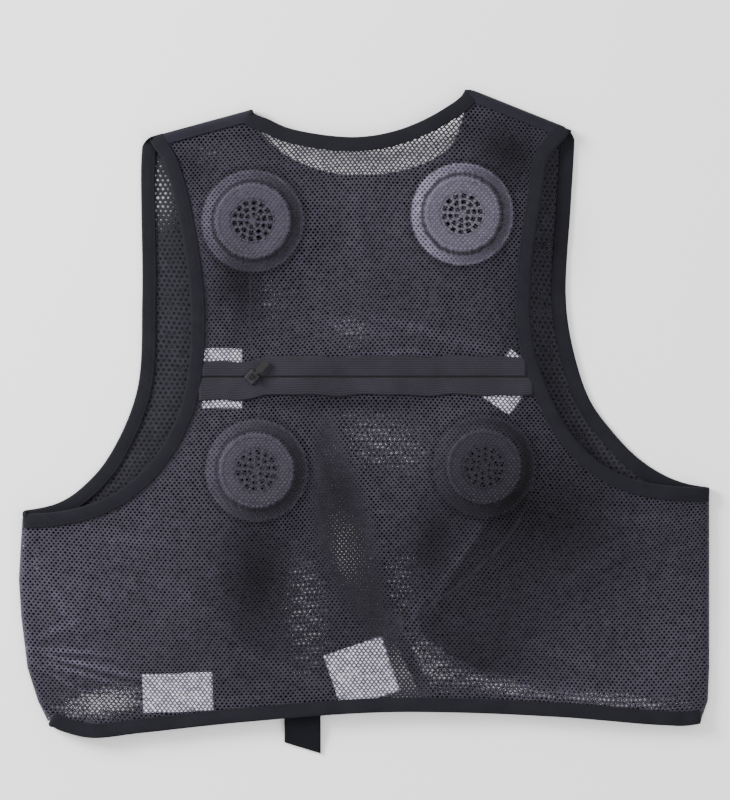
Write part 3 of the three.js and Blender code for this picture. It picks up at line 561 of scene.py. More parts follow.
# where holes are wider or narrower. Columns: x, y in shares, half sizes in mm, turn, share of the hole.
openZones = {
    "front": [(-0.757, 0.024, 40, 13, 8, 1.42), (0.176, 0.088, 32, 17, -35, 1.1),
              (0.393, 0.05, 44, 8, -13, 1.1), (0.725, 0.027, 58, 7, -4, 1.2),
              (-0.165, 0.165, 18, 54, 4, 0.85), (-0.05, 0.275, 11, 26, 8, 0.9),
              (0.092, 0.206, 17, 36, -8, 0.72),
              (0.055, 0.437, 42, 25, -15, 0.85), (-0.04, 0.619, 18, 14, 0, 0.75),
              (-0.27, 0.667, 10, 20, 0, 0.6), (-0.592, 0.835, 13, 29, 0, 0.68),
              (-0.453, 0.897, 13, 9, 0, 0.62), (-0.95, 0.25, 4, 18, 0, 0.6)],
    "back": [(-0.05, 0.275, 11, 26, 8, 0.72), (0.118, 0.078, 17, 25, -15, 0.88),
             (-0.757, 0.024, 40, 13, 8, 1.05), (-0.01, 0.935, 75, 14, 0, 1.12)],
}
# patches under the back net. Columns: x, y in shares, width and height in mm, turn.
patchRows = {"patch_lower_left": (-0.538, 0.042, 56, 31, 2),
             "patch_lower_middle": (-0.007, 0.073, 49, 46, 19),
             "patch_upper_left": (-0.41, 0.541, 32, 48, 0),
             "patch_upper_right": (0.42, 0.535, 30, 44, -35)}
# painted light and shade on the yarn: lighter and darker patches for creases, soft folds and the fall of
# light. Columns as in openZones.
paintedLightZones = [
    (-0.81, 0.088, 44, 1.6, -13, 1.9), (-0.8, 0.07, 46, 1.5, -17, 1.8), (-0.83, 0.106, 36, 1.4, -6, 1.7),
    (-0.86, 0.058, 26, 1.4, -28, 1.7), (-0.8, 0.079, 46, 1.3, -15, 0.6), (-0.7, 0.25, 90, 90, 0, 1.2),
    (-0.97, 0.22, 16, 60, 0, 1.3), (0.4, 0.17, 60, 40, 45, 0.62), (0.0, 0.22, 40, 60, 20, 0.6),
    (0.47, 0.62, 25, 60, 0, 0.5), (0.9, 0.1, 40, 55, 0, 1.35), (0.3, 0.35, 40, 40, 0, 0.7),
    (-0.1, 0.12, 50, 30, 0, 0.8), (0.0, 0.75, 50, 60, 0, 1.05), (-0.01, 0.935, 75, 16, 0, 0.3),
    (-0.494, 0.875, 18, 22, 0, 0.6), (-0.358, 0.685, 20, 32, 10, 0.3), (-0.31, 0.22, 31, 58, -6, 0.22),
    (0.57, 0.32, 60, 54, 0, 0.3), (0.42, 0.9, 27, 25, -20, 0.26), (0.2, 0.28, 18, 34, -10, 0.4),
    (-0.08, 0.36, 19, 34, 10, 0.55), (-0.127, 0.503, 90, 6, 0, 0.55), (0.566, 0.045, 60, 10, 0, 1.3),
    (-0.82, 0.2, 34, 44, 0, 1.25), (0.046, 0.82, 50, 40, 0, 1.1), (0.0, 0.62, 30, 16, 0, 1.12),
]
# outline of the shadow beside the power lead, in shares. The first rows follow the lead.
shadowRows = [(0.427, 0.368), (0.306, 0.278), (0.211, 0.206), (0.142, 0.162), (0.176, 0.127), (0.234, 0.102),
              (0.335, 0.076), (0.57, 0.064), (0.68, 0.127), (0.65, 0.222), (0.57, 0.317)]
shadow = {"edgeRows": 7, "soft": 1.5 * mm, "reach": 34 * mm, "share": 0.42}
# the net is tight over the fans and shows their forms: how light the yarn is drawn over each of them, the
# fan's plastic showing through with painted light and shade (highlight arcs, shade in the gap and over the
# slots)
fanShades = {
    "upper_left": {"drum": 1.45, "flange": 1.5, "highlightArc": 0.3, "gap": 0.4, "slot": 0.45},
    "upper_right": {"drum": 2.05, "flange": 3.4, "highlightArc": 0.7, "gap": 0.4, "slot": 0.45},
    "lower_left": {"drum": 1.05, "flange": 1.0, "highlightArc": 0.75, "gap": 0.4, "slot": 0.6},
    "lower_right": {"drum": 0.62, "flange": 0.68, "highlightArc": 0.7, "gap": 0.55, "slot": 0.85},
}
# painted shade on the yarn over the grille's slots. Columns: how many, inner and outer radius in shares of
# the grille.
slotShades = [(14, 0.72, 0.95), (10, 0.44, 0.66), (6, 0.15, 0.38)]
grilleRadius = 17.6 * mm
openDrums = {"names": ("upper_left", "upper_right"), "radius": 19 * mm, "soft": 2 * mm, "wider": 0.38}
# directions the painted light and shade on the fans come from
lightFrom, flangeLightFrom = math.radians(150), math.radians(195)
# painted light on the edges and painted shade on the flange. Columns: distance from the fan's middle in mm,
# share.
edgeLight = [(27, 0), (29, 0.3), (34, 0.35), (41, 0.3), (44, 0)]
flangeShadeBand = [(33, 0), (34, 1), (38.6, 1), (39.4, 0)]


def fromPlace(x, y, cx, cy, turn):        # places measured from one in shares, along turned axes
    angle = math.radians(turn)
    dx, dy = x - shareX(cx), y - shareY(cy)
    return dx * math.cos(angle) + dy * math.sin(angle), dy * math.cos(angle) - dx * math.sin(angle)


def zoneSquare(x, y, cx, cy, wide, high, turn):        # 0 in a zone's middle, 1 at its half sizes
    u, v = fromPlace(x, y, cx, cy, turn)
    return (u / (wide * mm)) ** 2 + (v / (high * mm)) ** 2


def overPatches(x, y):        # 1 where the net lies on a pale patch
    hit = np.zeros(np.shape(x))
    for cx, cy, wide, high, turn in patchRows.values():
        u, v = fromPlace(x, y, cx, cy, turn)
        past = np.maximum(np.abs(u) - wide * mm / 2, np.abs(v) - high * mm / 2)
        hit = np.maximum(hit, (past < 0).astype(float))
    return hit


def overOpening(x, y):        # 1 over the front opening, but not over a patch
    edge = np.minimum(distanceTo(paths["openLeft"], x, y), distanceTo(paths["openRight"], x, y))
    depth = np.where(within(holes["opening"], x, y), edge, -edge)
    ramp = np.clip((depth + 11 * mm) / (13 * mm), 0, 1)
    return ramp * (y < shareY(0.52)) * (1 - overPatches(x, y))


def overDrums(x, y):        # 1 over the grilles of the upper fans
    near = np.zeros(np.shape(x))
    for name in openDrums["names"]:
        away = np.hypot(x - fanCentre[name].x, y - fanCentre[name].y)
        near = np.maximum(near, np.clip((openDrums["radius"] - away) / openDrums["soft"], 0, 1))
    return near


def overShadow(x, y):        # painted shadow where the cloth lies deeper on one side of the power lead
    edge = np.array([(shareX(sx), shareY(sy)) for sx, sy in shadowRows])
    away = distanceTo(edge[:shadow["edgeRows"]], x, y)
    return within(edge, x, y) * np.clip(away / shadow["soft"], 0, 1) * np.exp(-(away / shadow["reach"]) ** 2)


def overFans(x, y):        # share of the yarn's lightness over each fan's forms: the plastic showing through, with painted light and shade
    toneAndPaintedLight = np.ones(np.shape(x))
    for name, shade in fanShades.items():
        drum, flange, gap = shade["drum"], shade["flange"], shade["gap"]
        dx, dy = x - fanCentre[name].x, y - fanCentre[name].y
        away = np.hypot(dx, dy) / mm
        angle = np.arctan2(dy, dx)
        lit = np.cos(angle - lightFrom)
        # from the middle outwards: drum, a painted highlight on its rim, painted shade in the gap, the flange
        # and a painted shadow beside it
        rows = [(0, drum), (28.4, drum), (29.4, drum * 1.15), (30.4, drum * 0.9), (31, gap), (33, gap + 0.05),
                (33.8, flange), (40.2, flange * 1.08), (41.2, 0.6), (42.6, 0.65), (47, 1)]
        ring = np.interp(away, *zip(*rows))
        # painted light on the rims towards the light, and painted shade on the flange's side away from its
        # light
        ring *= 1 + np.interp(away, *zip(*edgeLight)) * lit
        band = np.interp(away, *zip(*flangeShadeBand))
        ring *= 1 - 0.5 * band * (0.5 - 0.5 * np.cos(angle - flangeLightFrom))
        # painted highlights: bright arcs on the drum's rim towards the light and on the flange's away from it
        ring += shade["highlightArc"] * np.exp(-((away - 29.4) / 0.8) ** 2) * np.clip(lit, 0, 1)
        ring += shade["highlightArc"] * 0.8 * np.exp(-((away - 41) / 0.9) ** 2) * np.clip(-lit, 0, 1)
        # painted shade: the yarn over the grille's slots is drawn darker
        radius = away * mm / grilleRadius
        for count, low, high in slotShades:
            slot = (radius > low) & (radius < high) & ((angle / (2 * math.pi) * count) % 1 < 0.66)
            ring = np.where(slot, ring * shade["slot"], ring)
        toneAndPaintedLight *= ring
    return toneAndPaintedLight


def holeScale(kind, x, y):        # how wide each hole is, as a share of the tile's
    scale = np.full(np.shape(x), nets[kind]["hole"])
    if kind == "back":
        scale -= (1 - slackShare) * overOpening(x, y)
    for *zone, share in openZones[kind]:
        scale = scale + np.maximum(share - scale, 0) * np.exp(-zoneSquare(x, y, *zone) ** 1.5)
    if kind == "back":
        scale += 0.1 * overPatches(x, y) + openDrums["wider"] * overDrums(x, y)
        gap = np.minimum(x - leftEdge(y), rightEdge(y) - x)
        scale = np.where(y < sideTop, scale * np.clip((gap + 1 * mm) / (5 * mm), 0.2, 1), scale)
    return np.clip(scale, *holeLimits)


# how light the back net's yarn is drawn, with painted light and shade
def toneAndPaintedLightAt(x, y):
    # the fans' plastic showing through with painted light and shade, and a painted glow on the yarn over the
    # pale patches
    toneAndPaintedLight = overFans(x, y) * (1 + toneAndPaintedLightShares["patch"] * overPatches(x, y))
    # painted shade over the front opening
    toneAndPaintedLight *= 1 - toneAndPaintedLightShares["opening"] * overOpening(x, y)
    # painted shadow beside the power lead
    toneAndPaintedLight *= 1 - shadow["share"] * overShadow(x, y)
    # painted highlight on the creases' crests
    toneAndPaintedLight *= 1 + toneAndPaintedLightShares["crestHighlight"] * np.clip(fieldAt("crestHighlight", x, y), 0, 1)
    # painted light and shade zones
    for *zone, share in paintedLightZones:
        toneAndPaintedLight *= 1 + (share - 1) * np.exp(-zoneSquare(x, y, *zone))
    return toneAndPaintedLight


def netWarp(x, y):        # a net's rows are never quite straight
    dx = np.sin(y * 23 + 0.7) * 2.6 + np.sin(x * 41 + y * 17) * 1.3 + np.sin(x * 210 + y * 330) * 0.16
    dy = np.sin(x * 19 + 1.1) * 3.4 + np.sin(y * 37 - x * 23) * 1.4 + np.sin(x * 290 - y * 190) * 0.16
    return x + dx * mm, y + dy * mm


def netTile(bm, net):        # the two cells that repeat
    a, b = net["across"], net["along"]
    side = b / 2 - (a * a + b * b) / 4 / b        # where three threads meet beside the cell's middle
    corners = [(0, b / 2 - side), (-a / 2, side), (-a / 2, -side), (0, side - b / 2), (a / 2, -side),
               (a / 2, side)]
    bmesh.ops.create_circle(bm, segments=6, radius=a / 2, cap_ends=True)
    ring = sorted(bm.verts, key=lambda v: math.atan2(v.co.y, v.co.x))
    for v, (x, y) in zip(ring, sorted(corners, key=lambda c: math.atan2(c[1], c[0]))):
        v.co = (x, y, 0)
    cap = bm.faces[:]
    bmesh.ops.inset_individual(bm, faces=cap, thickness=net["thread"] / 2, depth=-net["ridge"])
    bmesh.ops.delete(bm, geom=cap, context="FACES")
    both = bmesh.ops.duplicate(bm, geom=bm.verts[:] + bm.edges[:] + bm.faces[:])["geom"]
    second = [g for g in both if isinstance(g, bmesh.types.BMVert)]
    bmesh.ops.translate(bm, verts=second, vec=(a / 2, b / 2, 0))
    bmesh.ops.recalc_face_normals(bm, faces=bm.faces)


def flatNet(name, net, low, high):        # the tile repeated over the whole width between two heights
    startX, startY = -0.292, low - 6 * mm
    columns = int(math.ceil(-2 * startX / net["across"])) + 2
    rows = int(math.ceil((high + 6 * mm - startY) / net["along"])) + 2
    tile = bpy.data.objects.new(name + " tile", meshFrom(name + " tile", lambda bm: netTile(bm, net)))
    bpy.context.scene.collection.objects.link(tile)
    for count, offset in ((columns, (net["across"], 0, 0)), (rows, (0, net["along"], 0))):
        array = tile.modifiers.new("repeat", "ARRAY")
        array.count = count
        array.use_relative_offset = False
        array.use_constant_offset = True
        array.constant_offset_displace = offset
    data = bpy.data.meshes.new_from_object(tile.evaluated_get(bpy.context.evaluated_depsgraph_get()))
    data.name = name
    bpy.data.objects.remove(tile)
    flat = np.empty(len(data.vertices) * 3)
    data.vertices.foreach_get("co", flat)
    return data, flat.reshape(-1, 3) + (startX, startY, 0)


def netPiece(name, kind, region, low, high):        # a net laid on its surface, cut to region(x, y)
    net = nets[kind]
    data, flat = flatNet(name, net, low, high)
    cell = np.arange(len(flat)) // cellPoints
    flat[:, 0], flat[:, 1] = netWarp(flat[:, 0], flat[:, 1])
    centres = np.stack([np.bincount(cell, flat[:, k]) / cellPoints for k in (0, 1)], 1)
    scale = holeScale(kind, centres[:, 0], centres[:, 1])
    scale = scale * (1 + holeSpread * rng.standard_normal(len(centres)))
    inward = flat[:, 2] < -1e-6        # the points round the hole
    for k in (0, 1):
        inner = centres[cell, k] + (flat[:, k] - centres[cell, k]) * scale[cell]
        flat[:, k] = np.where(inward, inner, flat[:, k])
    kept = region(centres[:, 0], centres[:, 1])        # the cells that stay
    x = flat[:, 0].copy()
    y = np.minimum(flat[:, 1], shoulderLine(x))
    x = np.where(y < sideTop, np.clip(x, leftEdge(y), rightEdge(y)), x)
    flat = np.stack([x, y, flat[:, 2] + net["surface"](x, y)], 1)
    data.vertices.foreach_set("co", flat.ravel())
    # painted shade round the holes; the back net's yarn also gets its painted light and shade, and every cell
    # a random tone
    if kind == "front":
        holeShade = frontHoleShade["least"] + (scale[cell] - net["hole"]) * frontHoleShade["rise"]
        shade = np.where(inward, np.clip(holeShade, frontHoleShade["least"], 1), 1.0)
    else:
        shade = toneAndPaintedLightAt(x, y) * np.where(inward, toneAndPaintedLightShares["holeEdgeShade"], 1.0)
    shade = shade * (1 + toneAndPaintedLightShares["spread"] * rng.standard_normal(len(centres)))[cell]
    toneAndPaintedLight = data.attributes.new("toneAndPaintedLight", "FLOAT", "POINT")
    toneAndPaintedLight.data.foreach_set("value", shade.astype(np.float32))
    bm = bmesh.new()
    bm.from_mesh(data)
    bmesh.ops.delete(bm, geom=[v for v, k in zip(bm.verts, kept[cell]) if not k], context="VERTS")
    bmesh.ops.remove_doubles(bm, verts=bm.verts, dist=0.02 * mm)
    bm.to_mesh(data)
    bm.free()
    item = pieceOf(name, data, finishes[net["finish"]])
    cells = int(kept.sum())
    area = cells * net["across"] * net["along"] / 2
    print(name, "cells", cells, "area", round(area, 4), flush=True)
    return item, area


# how near the middle of a cell may come to an edge. A minus lets it pass the edge.
margins = {"binding": 4 * mm, "hem": 2.4 * mm, "fold": -2.4 * mm, "shoulder": -2 * mm, "opening": 1.5 * mm,
           "zip": 4 * mm}


def outside(names, x, y, spare):        # true away from the named holes and their edges
    keep = np.ones(np.shape(x), bool)
    for name in names:
        keep &= ~within(holes[name], x, y)
        keep &= distanceTo(paths[name], x, y) > spare
    return keep


def inFolds(x, y, side, top):        # true inside the side folds and under the shoulder line
    return (x > leftEdge(y) + side) & (x < rightEdge(y) - side) & (y < shoulderLine(x) - top)


def backRegion(low, high):
    def region(x, y):
        keep = outside(["leftBack", "rightBack", "neckBack"], x, y, margins["binding"])
        keep &= outside(["hem"], x, y, margins["hem"]) & (y > low) & (y < high)
        return keep & inFolds(x, y, margins["fold"], margins["shoulder"])
    return region


def frontRegion(side):
    def region(x, y):
        keep = outside(["leftFront", "rightFront", "neckFront", "hem"], x, y, margins["binding"])
        keep &= inFolds(x, y, margins["fold"], margins["shoulder"]) & ~within(holes["opening"], x, y)
        edge = paths["openLeft"]
        keep &= distanceTo(edge, x, y) > margins["opening"]
        keep &= distanceTo(paths["openRight"], x, y) > margins["opening"]
        left = np.where(y > edge[0][1], x < edge[0][0], x < np.interp(-y, -edge[:, 1], edge[:, 0]) + 1 * mm)
        return keep & (left if side == "left" else ~left)
    return region


netLow, netHigh = -0.262, 0.275
# columns: kind, region, lowest and highest y
netRows = {
    "back_yoke": ("back", backRegion(zipY + margins["zip"], far), zipY, netHigh),
    "back_lower": ("back", backRegion(-far, zipY - margins["zip"]), netLow, zipY),
    "front_left_panel": ("front", frontRegion("left"), netLow, netHigh),
    "front_right_panel": ("front", frontRegion("right"), netLow, netHigh),
}
netPieces = {name: netPiece(name, *row) for name, row in netRows.items()}
print("nets made", flush=True)


# bindings: folded elastic round the cut edges
binding = {"width": 11.5 * mm, "thick": 3.4 * mm, "steps": 150, "hemSteps": 210, "stack": 0.95,
           "turnSteps": 9, "tipRound": 12 * mm, "tipOver": 1 * mm, "inFold": 0.1 * mm, "onShoulder": 0.2 * mm,
           "besideNeck": 0.24 * halfWidth}


def tipOf(path, side):        # how far out a front armhole edge reaches below the shoulder
    x = path[:, 0][path[:, 1] > shareY(0.8)]
    return float((x * side).max()) * side + side * binding["tipOver"]


tips = {-1: tipOf(paths["leftFront"], -1), 1: tipOf(paths["rightFront"], 1)}


def flushEnds(grid):        # keeps a binding inside the side and shoulder folds and above the floor
    x, y = grid[..., 0], grid[..., 1]
    nearTop = (y > shoulderBase) & (np.abs(x - middleX) > binding["besideNeck"])
    top = shoulderLine(x) + binding["onShoulder"]
    y = np.where(nearTop, np.minimum(y, top), y)
    for side, tip in tips.items():
        share = np.clip(1 - (tip - x) * side / binding["tipRound"], 0, 0.995)
        drop = binding["tipRound"] * (1 - np.sqrt(1 - share ** 2))
        y = np.where(nearTop, np.minimum(y, top - drop), y)
    inner = np.clip(x, leftEdge(y) + binding["inFold"], rightEdge(y) - binding["inFold"])
    return np.stack([np.where(y < sideTop, inner, x), y, np.maximum(grid[..., 2], 0.1 * mm)], -1)


def leftOf(path):        # directions to the left of a path's run
    tangent = unit(np.gradient(path, axis=0))
    return np.stack([-tangent[:, 1], tangent[:, 0]], 1)


def insetPath(path, inward, count):        # points beside a path. inward is positive to the left of its run.
    left = leftOf(path)
    moved = path + inward * left
    run = runLength(moved)
    even = np.linspace(0, run[-1], count)
    return resample(moved, run, even), unit(resample(left, run, even)) * np.sign(inward)


def foldedSection(width, thick):        # a flap, the fold at the free edge and the other flap
    half, edge = thick / 2, width / 2
    rows = [(edge, 0.25 * mm), (edge - 0.35 * mm, half * 0.85), (edge - 1.2 * mm, half),
            (edge - 1.8 * mm, half * 0.86), (edge - 2.4 * mm, half), (0, half * 1.04),
            (-width / 4, half * 1.05), (1.4 * mm - edge, half), (0.5 * mm - edge, half * 0.8),
            (-edge, half * 0.35)]
    return rows + [(a, -b) for a, b in reversed(rows)]


def clipPath(path, test):
    keep = np.nonzero(test(path[:, 0], path[:, 1]))[0]
    return path[keep[0]:keep[-1] + 1]


def turnOver(first, last, outward):        # points from one flap's end over a fold to the other's start
    angle = np.linspace(0, math.pi, binding["turnSteps"] + 2)[1:-1]
    middle, half = (first + last) / 2, (first - last) / 2
    reach = np.array(outward, float) * np.linalg.norm(half) * 0.5
    return middle + np.cos(angle)[:, None] * half + np.sin(angle)[:, None] * reach


def withZ(rows, z):
    return np.column_stack([rows, np.broadcast_to(z, len(rows))])


def bindingPiece(name, points, sides, closed):
    width, thick = binding["width"], binding["thick"]
    grid = flushEnds(ribbon(points, sides, foldedSection(width, thick), closed))
    item = pieceOf(name, gridMesh(name, grid, closeRows=closed), finishes["elastic"])


def bindingLoop(name, backPath, frontPath, inward, startOut):        # round a hole, back and front
    thick, offset = binding["thick"], inward * binding["width"] / 2
    back, backSide = insetPath(backPath, offset, binding["steps"])
    front, frontSide = insetPath(frontPath, offset, binding["steps"])
    front = withZ(front, np.maximum(frontZ(front[:, 0], front[:, 1]), thick / 2))
    overFront = front[:, 2].max() + thick * binding["stack"]
    back = withZ(back, np.maximum(backZ(back[:, 0], back[:, 1]), overFront))
    backSide, frontSide = withZ(backSide, 0), withZ(frontSide, 0)
    over = turnOver(back[-1], front[-1], (0, 1, 0))
    under = turnOver(front[0], back[0], startOut)
    overSide = np.linspace(backSide[-1], frontSide[-1], len(over))
    underSide = np.linspace(frontSide[0], backSide[0], len(under))
    points = np.vstack([back, over, front[::-1], under])
    bindingPiece(name, points, np.vstack([backSide, overSide, frontSide[::-1], underSide]), True)


def hemBinding():        # along the back's hem, round both side folds, to the front opening
    thick = binding["thick"]
    run = clipPath(paths["hem"], lambda x, y: (x > leftEdge(y) + 1 * mm) & (x < rightEdge(y) - 1 * mm))
    middle, side = insetPath(run, binding["width"] / 2, binding["hemSteps"])
    back = withZ(middle, np.maximum(backZ(middle[:, 0], middle[:, 1]), frontLevel + thick))
    front = withZ(middle, max(frontLevel, thick / 2))
    gap = [paths[key][np.argmin(np.abs(paths[key][:, 1] - hemY)), 0] for key in ("openLeft", "openRight")]
    left, right = front[:, 0] < gap[0], front[:, 0] > gap[1]
    side = withZ(side, 0)
    leftTurn = turnOver(front[0], back[0], (-1, 0, 0))
    rightTurn = turnOver(back[-1], front[-1], (1, 0, 0))
    points = np.vstack([front[left][::-1], leftTurn, back, rightTurn, front[right][::-1]])
    sides = np.vstack([side[left][::-1], np.repeat(side[:1], len(leftTurn), 0), side,
                       np.repeat(side[-1:], len(rightTurn), 0), side[right][::-1]])
    bindingPiece("hem_binding", points, sides, False)


def onCloth(x, y):
    return inFolds(x, y, 2 * mm, 2 * mm)


# columns: back edge, front edge, direction of the run, side of the cloth, way out at the start.
# The armholes run from the underarm to the shoulder, the neck from left to right.
bindingRows = {
    "armhole_binding_left": ("leftBack", "leftFront", -1, -1, (-1, 0, 0)),
    "armhole_binding_right": ("rightBack", "rightFront", -1, 1, (1, 0, 0)),
    "neck_binding": ("neckBack", "neckFront", 1, -1, (0, 1, 0)),
}
for name, (back, front, order, inward, startOut) in bindingRows.items():
    runs = [clipPath(paths[key][::order], onCloth) for key in (back, front)]
    bindingLoop(name, *runs, inward, startOut)
hemBinding()
print("bindings made", flush=True)


# flat tapes and patches that follow the cloth. lift is from the cloth's middle to the tape's.
zipTape = {"lift": 0.9 * mm, "thick": 0.7 * mm, "crown": 0.5 * mm, "steps": 120, "columns": 12,
           "rows": {"zip_tape_upper": (0.5, 16.6, "back_yoke_look"),
                    "zip_tape_lower": (-14.6, -0.5, "back_lower_look")}}        # in mm from the coil
zipCoil = {"width": 4.6 * mm, "lift": 0.0, "thick": 1.2 * mm, "columns": 8}
ripple = {"waves": [(95, 0.6, 0.6), (171, 2.0, 0.5)], "sag": 4.5, "sagFrom": 52 * mm, "sagOver": 24 * mm}
shoulderTape = {"width": 9.5 * mm, "flat": 10 * mm, "inset": 4.6 * mm, "lift": 0.7 * mm, "thick": 0.7 * mm,
                "steps": 40, "columns": 12,
                "rows": {"shoulder_tape_left": (-0.604, -0.322), "shoulder_tape_right": (0.292, 0.572)}}
edgeTape = {"width": 9 * mm, "inset": 4.6 * mm, "lift": 1 * mm, "thick": 0.9 * mm, "steps": 120, "columns": 8,
            "rows": {"front_edge_tape_left": ("openLeft", -1), "front_edge_tape_right": ("openRight", 1)}}
patch = {"lift": -1.5 * mm, "thick": 0.9 * mm, "steps": 24, "columns": 20}


def layStrip(name, middle, width, look, finish, surface=backZ, crown=0.0):
    # a strip along a path in the plane, over or under surface. A crown lifts its middle and waves its edge.
    across = np.linspace(-0.5, 0.5, look["columns"])[None, :]
    top = middle[:, None, :] + across[..., None] * width * leftOf(middle)[:, None, :]
    if crown:
        wave = sum(high * np.sin(top[..., 0] * pace + start) for pace, start, high in ripple["waves"])
        share = np.clip((middle[0, 0] + ripple["sagFrom"] - top[..., 0]) / ripple["sagOver"], 0, 1)
        outer = np.clip(0.5 + across * np.sign(crown), 0, 1)
        top[..., 1] += (wave - ripple["sag"] * share) * mm * outer
    z = surface(top[..., 0], top[..., 1]) + look["lift"] + abs(crown) * (1 - (2 * across) ** 2)
    upper = np.concatenate([top, (z + look["thick"] / 2)[..., None]], 2)
    lower = np.concatenate([top, (z - look["thick"] / 2)[..., None]], 2)[:, ::-1]
    grid = np.concatenate([upper, lower, upper[:, :1]], 1)
    item = pieceOf(name, gridMesh(name, grid, closeColumns=True), finish)
    return item, lengthOf(middle)


def zipRun(y):        # from binding to binding across the back
    left = np.interp(-y, -paths["leftBack"][:, 1], paths["leftBack"][:, 0]) + binding["width"] - 1 * mm
    right = np.interp(-y, -paths["rightBack"][:, 1], paths["rightBack"][:, 0]) - binding["width"] + 1 * mm
    return np.stack([np.linspace(left, right, zipTape["steps"]), np.full(zipTape["steps"], y)], 1)


for name, (low, high, under) in zipTape["rows"].items():
    width = (high - low) * mm
    item, length = layStrip(name, zipRun(zipY + (low + high) / 2 * mm), width, zipTape, finishes["zipTape"],
                            crown=math.copysign(zipTape["crown"], low + high))
# the coil carries painted shade of the gap between the tapes
layStrip("zip_coil", zipRun(zipY), zipCoil["width"], zipCoil, finishes["coilGapShade"])
for name, reach in shoulderTape["rows"].items():
    xs = np.linspace(*shareX(reach), shoulderTape["steps"])
    run = np.stack([xs, shoulderLine(xs) - shoulderTape["inset"]], 1)
    item, length = layStrip(name, run, shoulderTape["width"], shoulderTape, finishes["tape"])
for name, (key, turn) in edgeTape["rows"].items():
    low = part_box(name)[0].y
    edge = paths[key][paths[key][:, 1] > low]
    edge = resample(edge, np.arange(len(edge)), np.linspace(0, len(edge) - 1, 140))
    run = insetPath(edge, turn * edgeTape["inset"], edgeTape["steps"])[0]
    run = run[run[:, 1] > low]
    layStrip(name, run, edgeTape["width"], edgeTape, finishes["tape"], frontZ)
for name, (x, y, wide, high, turn) in patchRows.items():
    angle = math.radians(turn)
    up = np.array([-math.sin(angle), math.cos(angle)]) * high * mm / 2
    run = np.array([shareX(x), shareY(y)]) + np.linspace(-1, 1, patch["steps"])[:, None] * up
    item, length = layStrip(name, run, wide * mm, patch, finishes["patch"])
print("tapes and patches made", flush=True)


# fans
# housing: radius and height in mm from the middle of its base, over the outside and back through the inside
fanProfile = [(0, 0), (34.8, 0), (36, 0.6), (36, 10.6), (36.6, 11), (40.3, 11), (41, 11.7), (41, 12.8),
              (40.3, 13.5), (31.6, 13.5), (30.9, 13.8), (30.6, 14.6), (30, 17.9), (29.6, 18.7), (28.8, 19),
              (26.8, 19), (26.5, 18.6), (26.1, 18.6), (25.8, 19), (18.5, 19), (17.9, 18.6), (17.9, 17.4),
              (28.4, 17.4), (28.4, 1.6), (2, 1.6), (2, 7), (0, 7)]
fanSteps = 96
grille = {"top": 19 * mm, "wall": 1.5 * mm, "steps": 140, "open": 0.62,
          "rings": [0, 0.18, 0.37, 0.45, 0.64, 0.72, 0.92, 1],
          "slots": [(6, 0.18, 0.37), (10, 0.45, 0.64), (14, 0.72, 0.92)]}
rotor = {"foot": 1.9 * mm, "head": 16.5 * mm, "hub": 9 * mm, "bore": 2.3 * mm, "pin": 7.3 * mm, "steps": 48,
         "blades": 5, "blade": (17.5 * mm, 1.3 * mm, 13 * mm), "at": 16.2 * mm, "high": 6.9 * mm,
         "pitch": 0.4}
fanFinish = {"upper_left": "fan", "upper_right": "fanPale", "lower_left": "fan", "lower_right": "fanDark"}


def housingMesh(bm):
    lathe(bm, [(r * mm, z * mm) for r, z in fanProfile], fanSteps)


def grilleMesh(bm):        # a disc with rings of slots
    lathe(bm, [(share * grilleRadius, 0) for share in grille["rings"]], grille["steps"])
    cut = []
    for face in bm.faces:
        centre = face.calc_center_median()
        share = centre.xy.length / grilleRadius
        around = math.atan2(centre.y, centre.x) / (2 * math.pi)
        cut += [face for count, low, high in grille["slots"]
                if low < share < high and around * count % 1 <= grille["open"]]
    bmesh.ops.delete(bm, geom=cut, context="FACES")
    giveWall(bm, -grille["wall"])
    bmesh.ops.translate(bm, verts=bm.verts, vec=(0, 0, grille["top"]))


def rotorMesh(bm):
    foot, head, hub, bore = (rotor[key] for key in ("foot", "head", "hub", "bore"))
    lathe(bm, [(0, rotor["pin"]), (bore, rotor["pin"]), (bore, foot), (hub - 0.4 * mm, foot),
               (hub, foot + 0.4 * mm), (hub, head - 0.6 * mm), (hub - 0.6 * mm, head), (0, head)],
          rotor["steps"])
    for i in range(rotor["blades"]):
        made = addBlock(bm, rotor["blade"])
        turnVerts(bm, made, rotor["pitch"], "X")
        bmesh.ops.translate(bm, verts=made, vec=(rotor["at"], 0, foot + rotor["high"]))
        turnVerts(bm, made, i * 2 * math.pi / rotor["blades"], "Z")


for name in fanNames:
    base = Vector((fanCentre[name].x, fanCentre[name].y, fanBase))
    for part, build, finish, slotName, body in (
            ("fan_housing_", housingMesh, fanFinish[name], "fan_plastic", "vest"),
            ("fan_grille_", grilleMesh, fanFinish[name], "fan_plastic", "vest"),
            ("fan_rotor_", rotorMesh, "rotor", "rotor_plastic", "rotor_" + name)):
        data = meshFrom(part + name, build)
        data.transform(Matrix.Translation(base))
        pieceOf(part + name, data, finishes[finish], body, smooth=False)
print("fans made", flush=True)


# leads: round rubber cords under the back
lead = {"radius": 1.5 * mm, "steps": 60, "sides": 12, "settle": 24, "out": 36.9 * mm,
        "level": fanBase + 7.5 * mm, "under": 4.2 * mm, "bevel": 1.2 * mm, "connectorHalf": 7 * mm,
        "plugHalf": 4.4 * mm}


def leadRun(rows):        # even steps along the chosen points, with the corners rounded off
    rows = np.array(rows, float)
    run = runLength(rows)
    curve = resample(rows, run, np.linspace(0, run[-1], lead["steps"]))
    for turn in range(lead["settle"]):
        curve[1:-1] = (curve[:-2] + 2 * curve[1:-1] + curve[2:]) / 4
    return curve


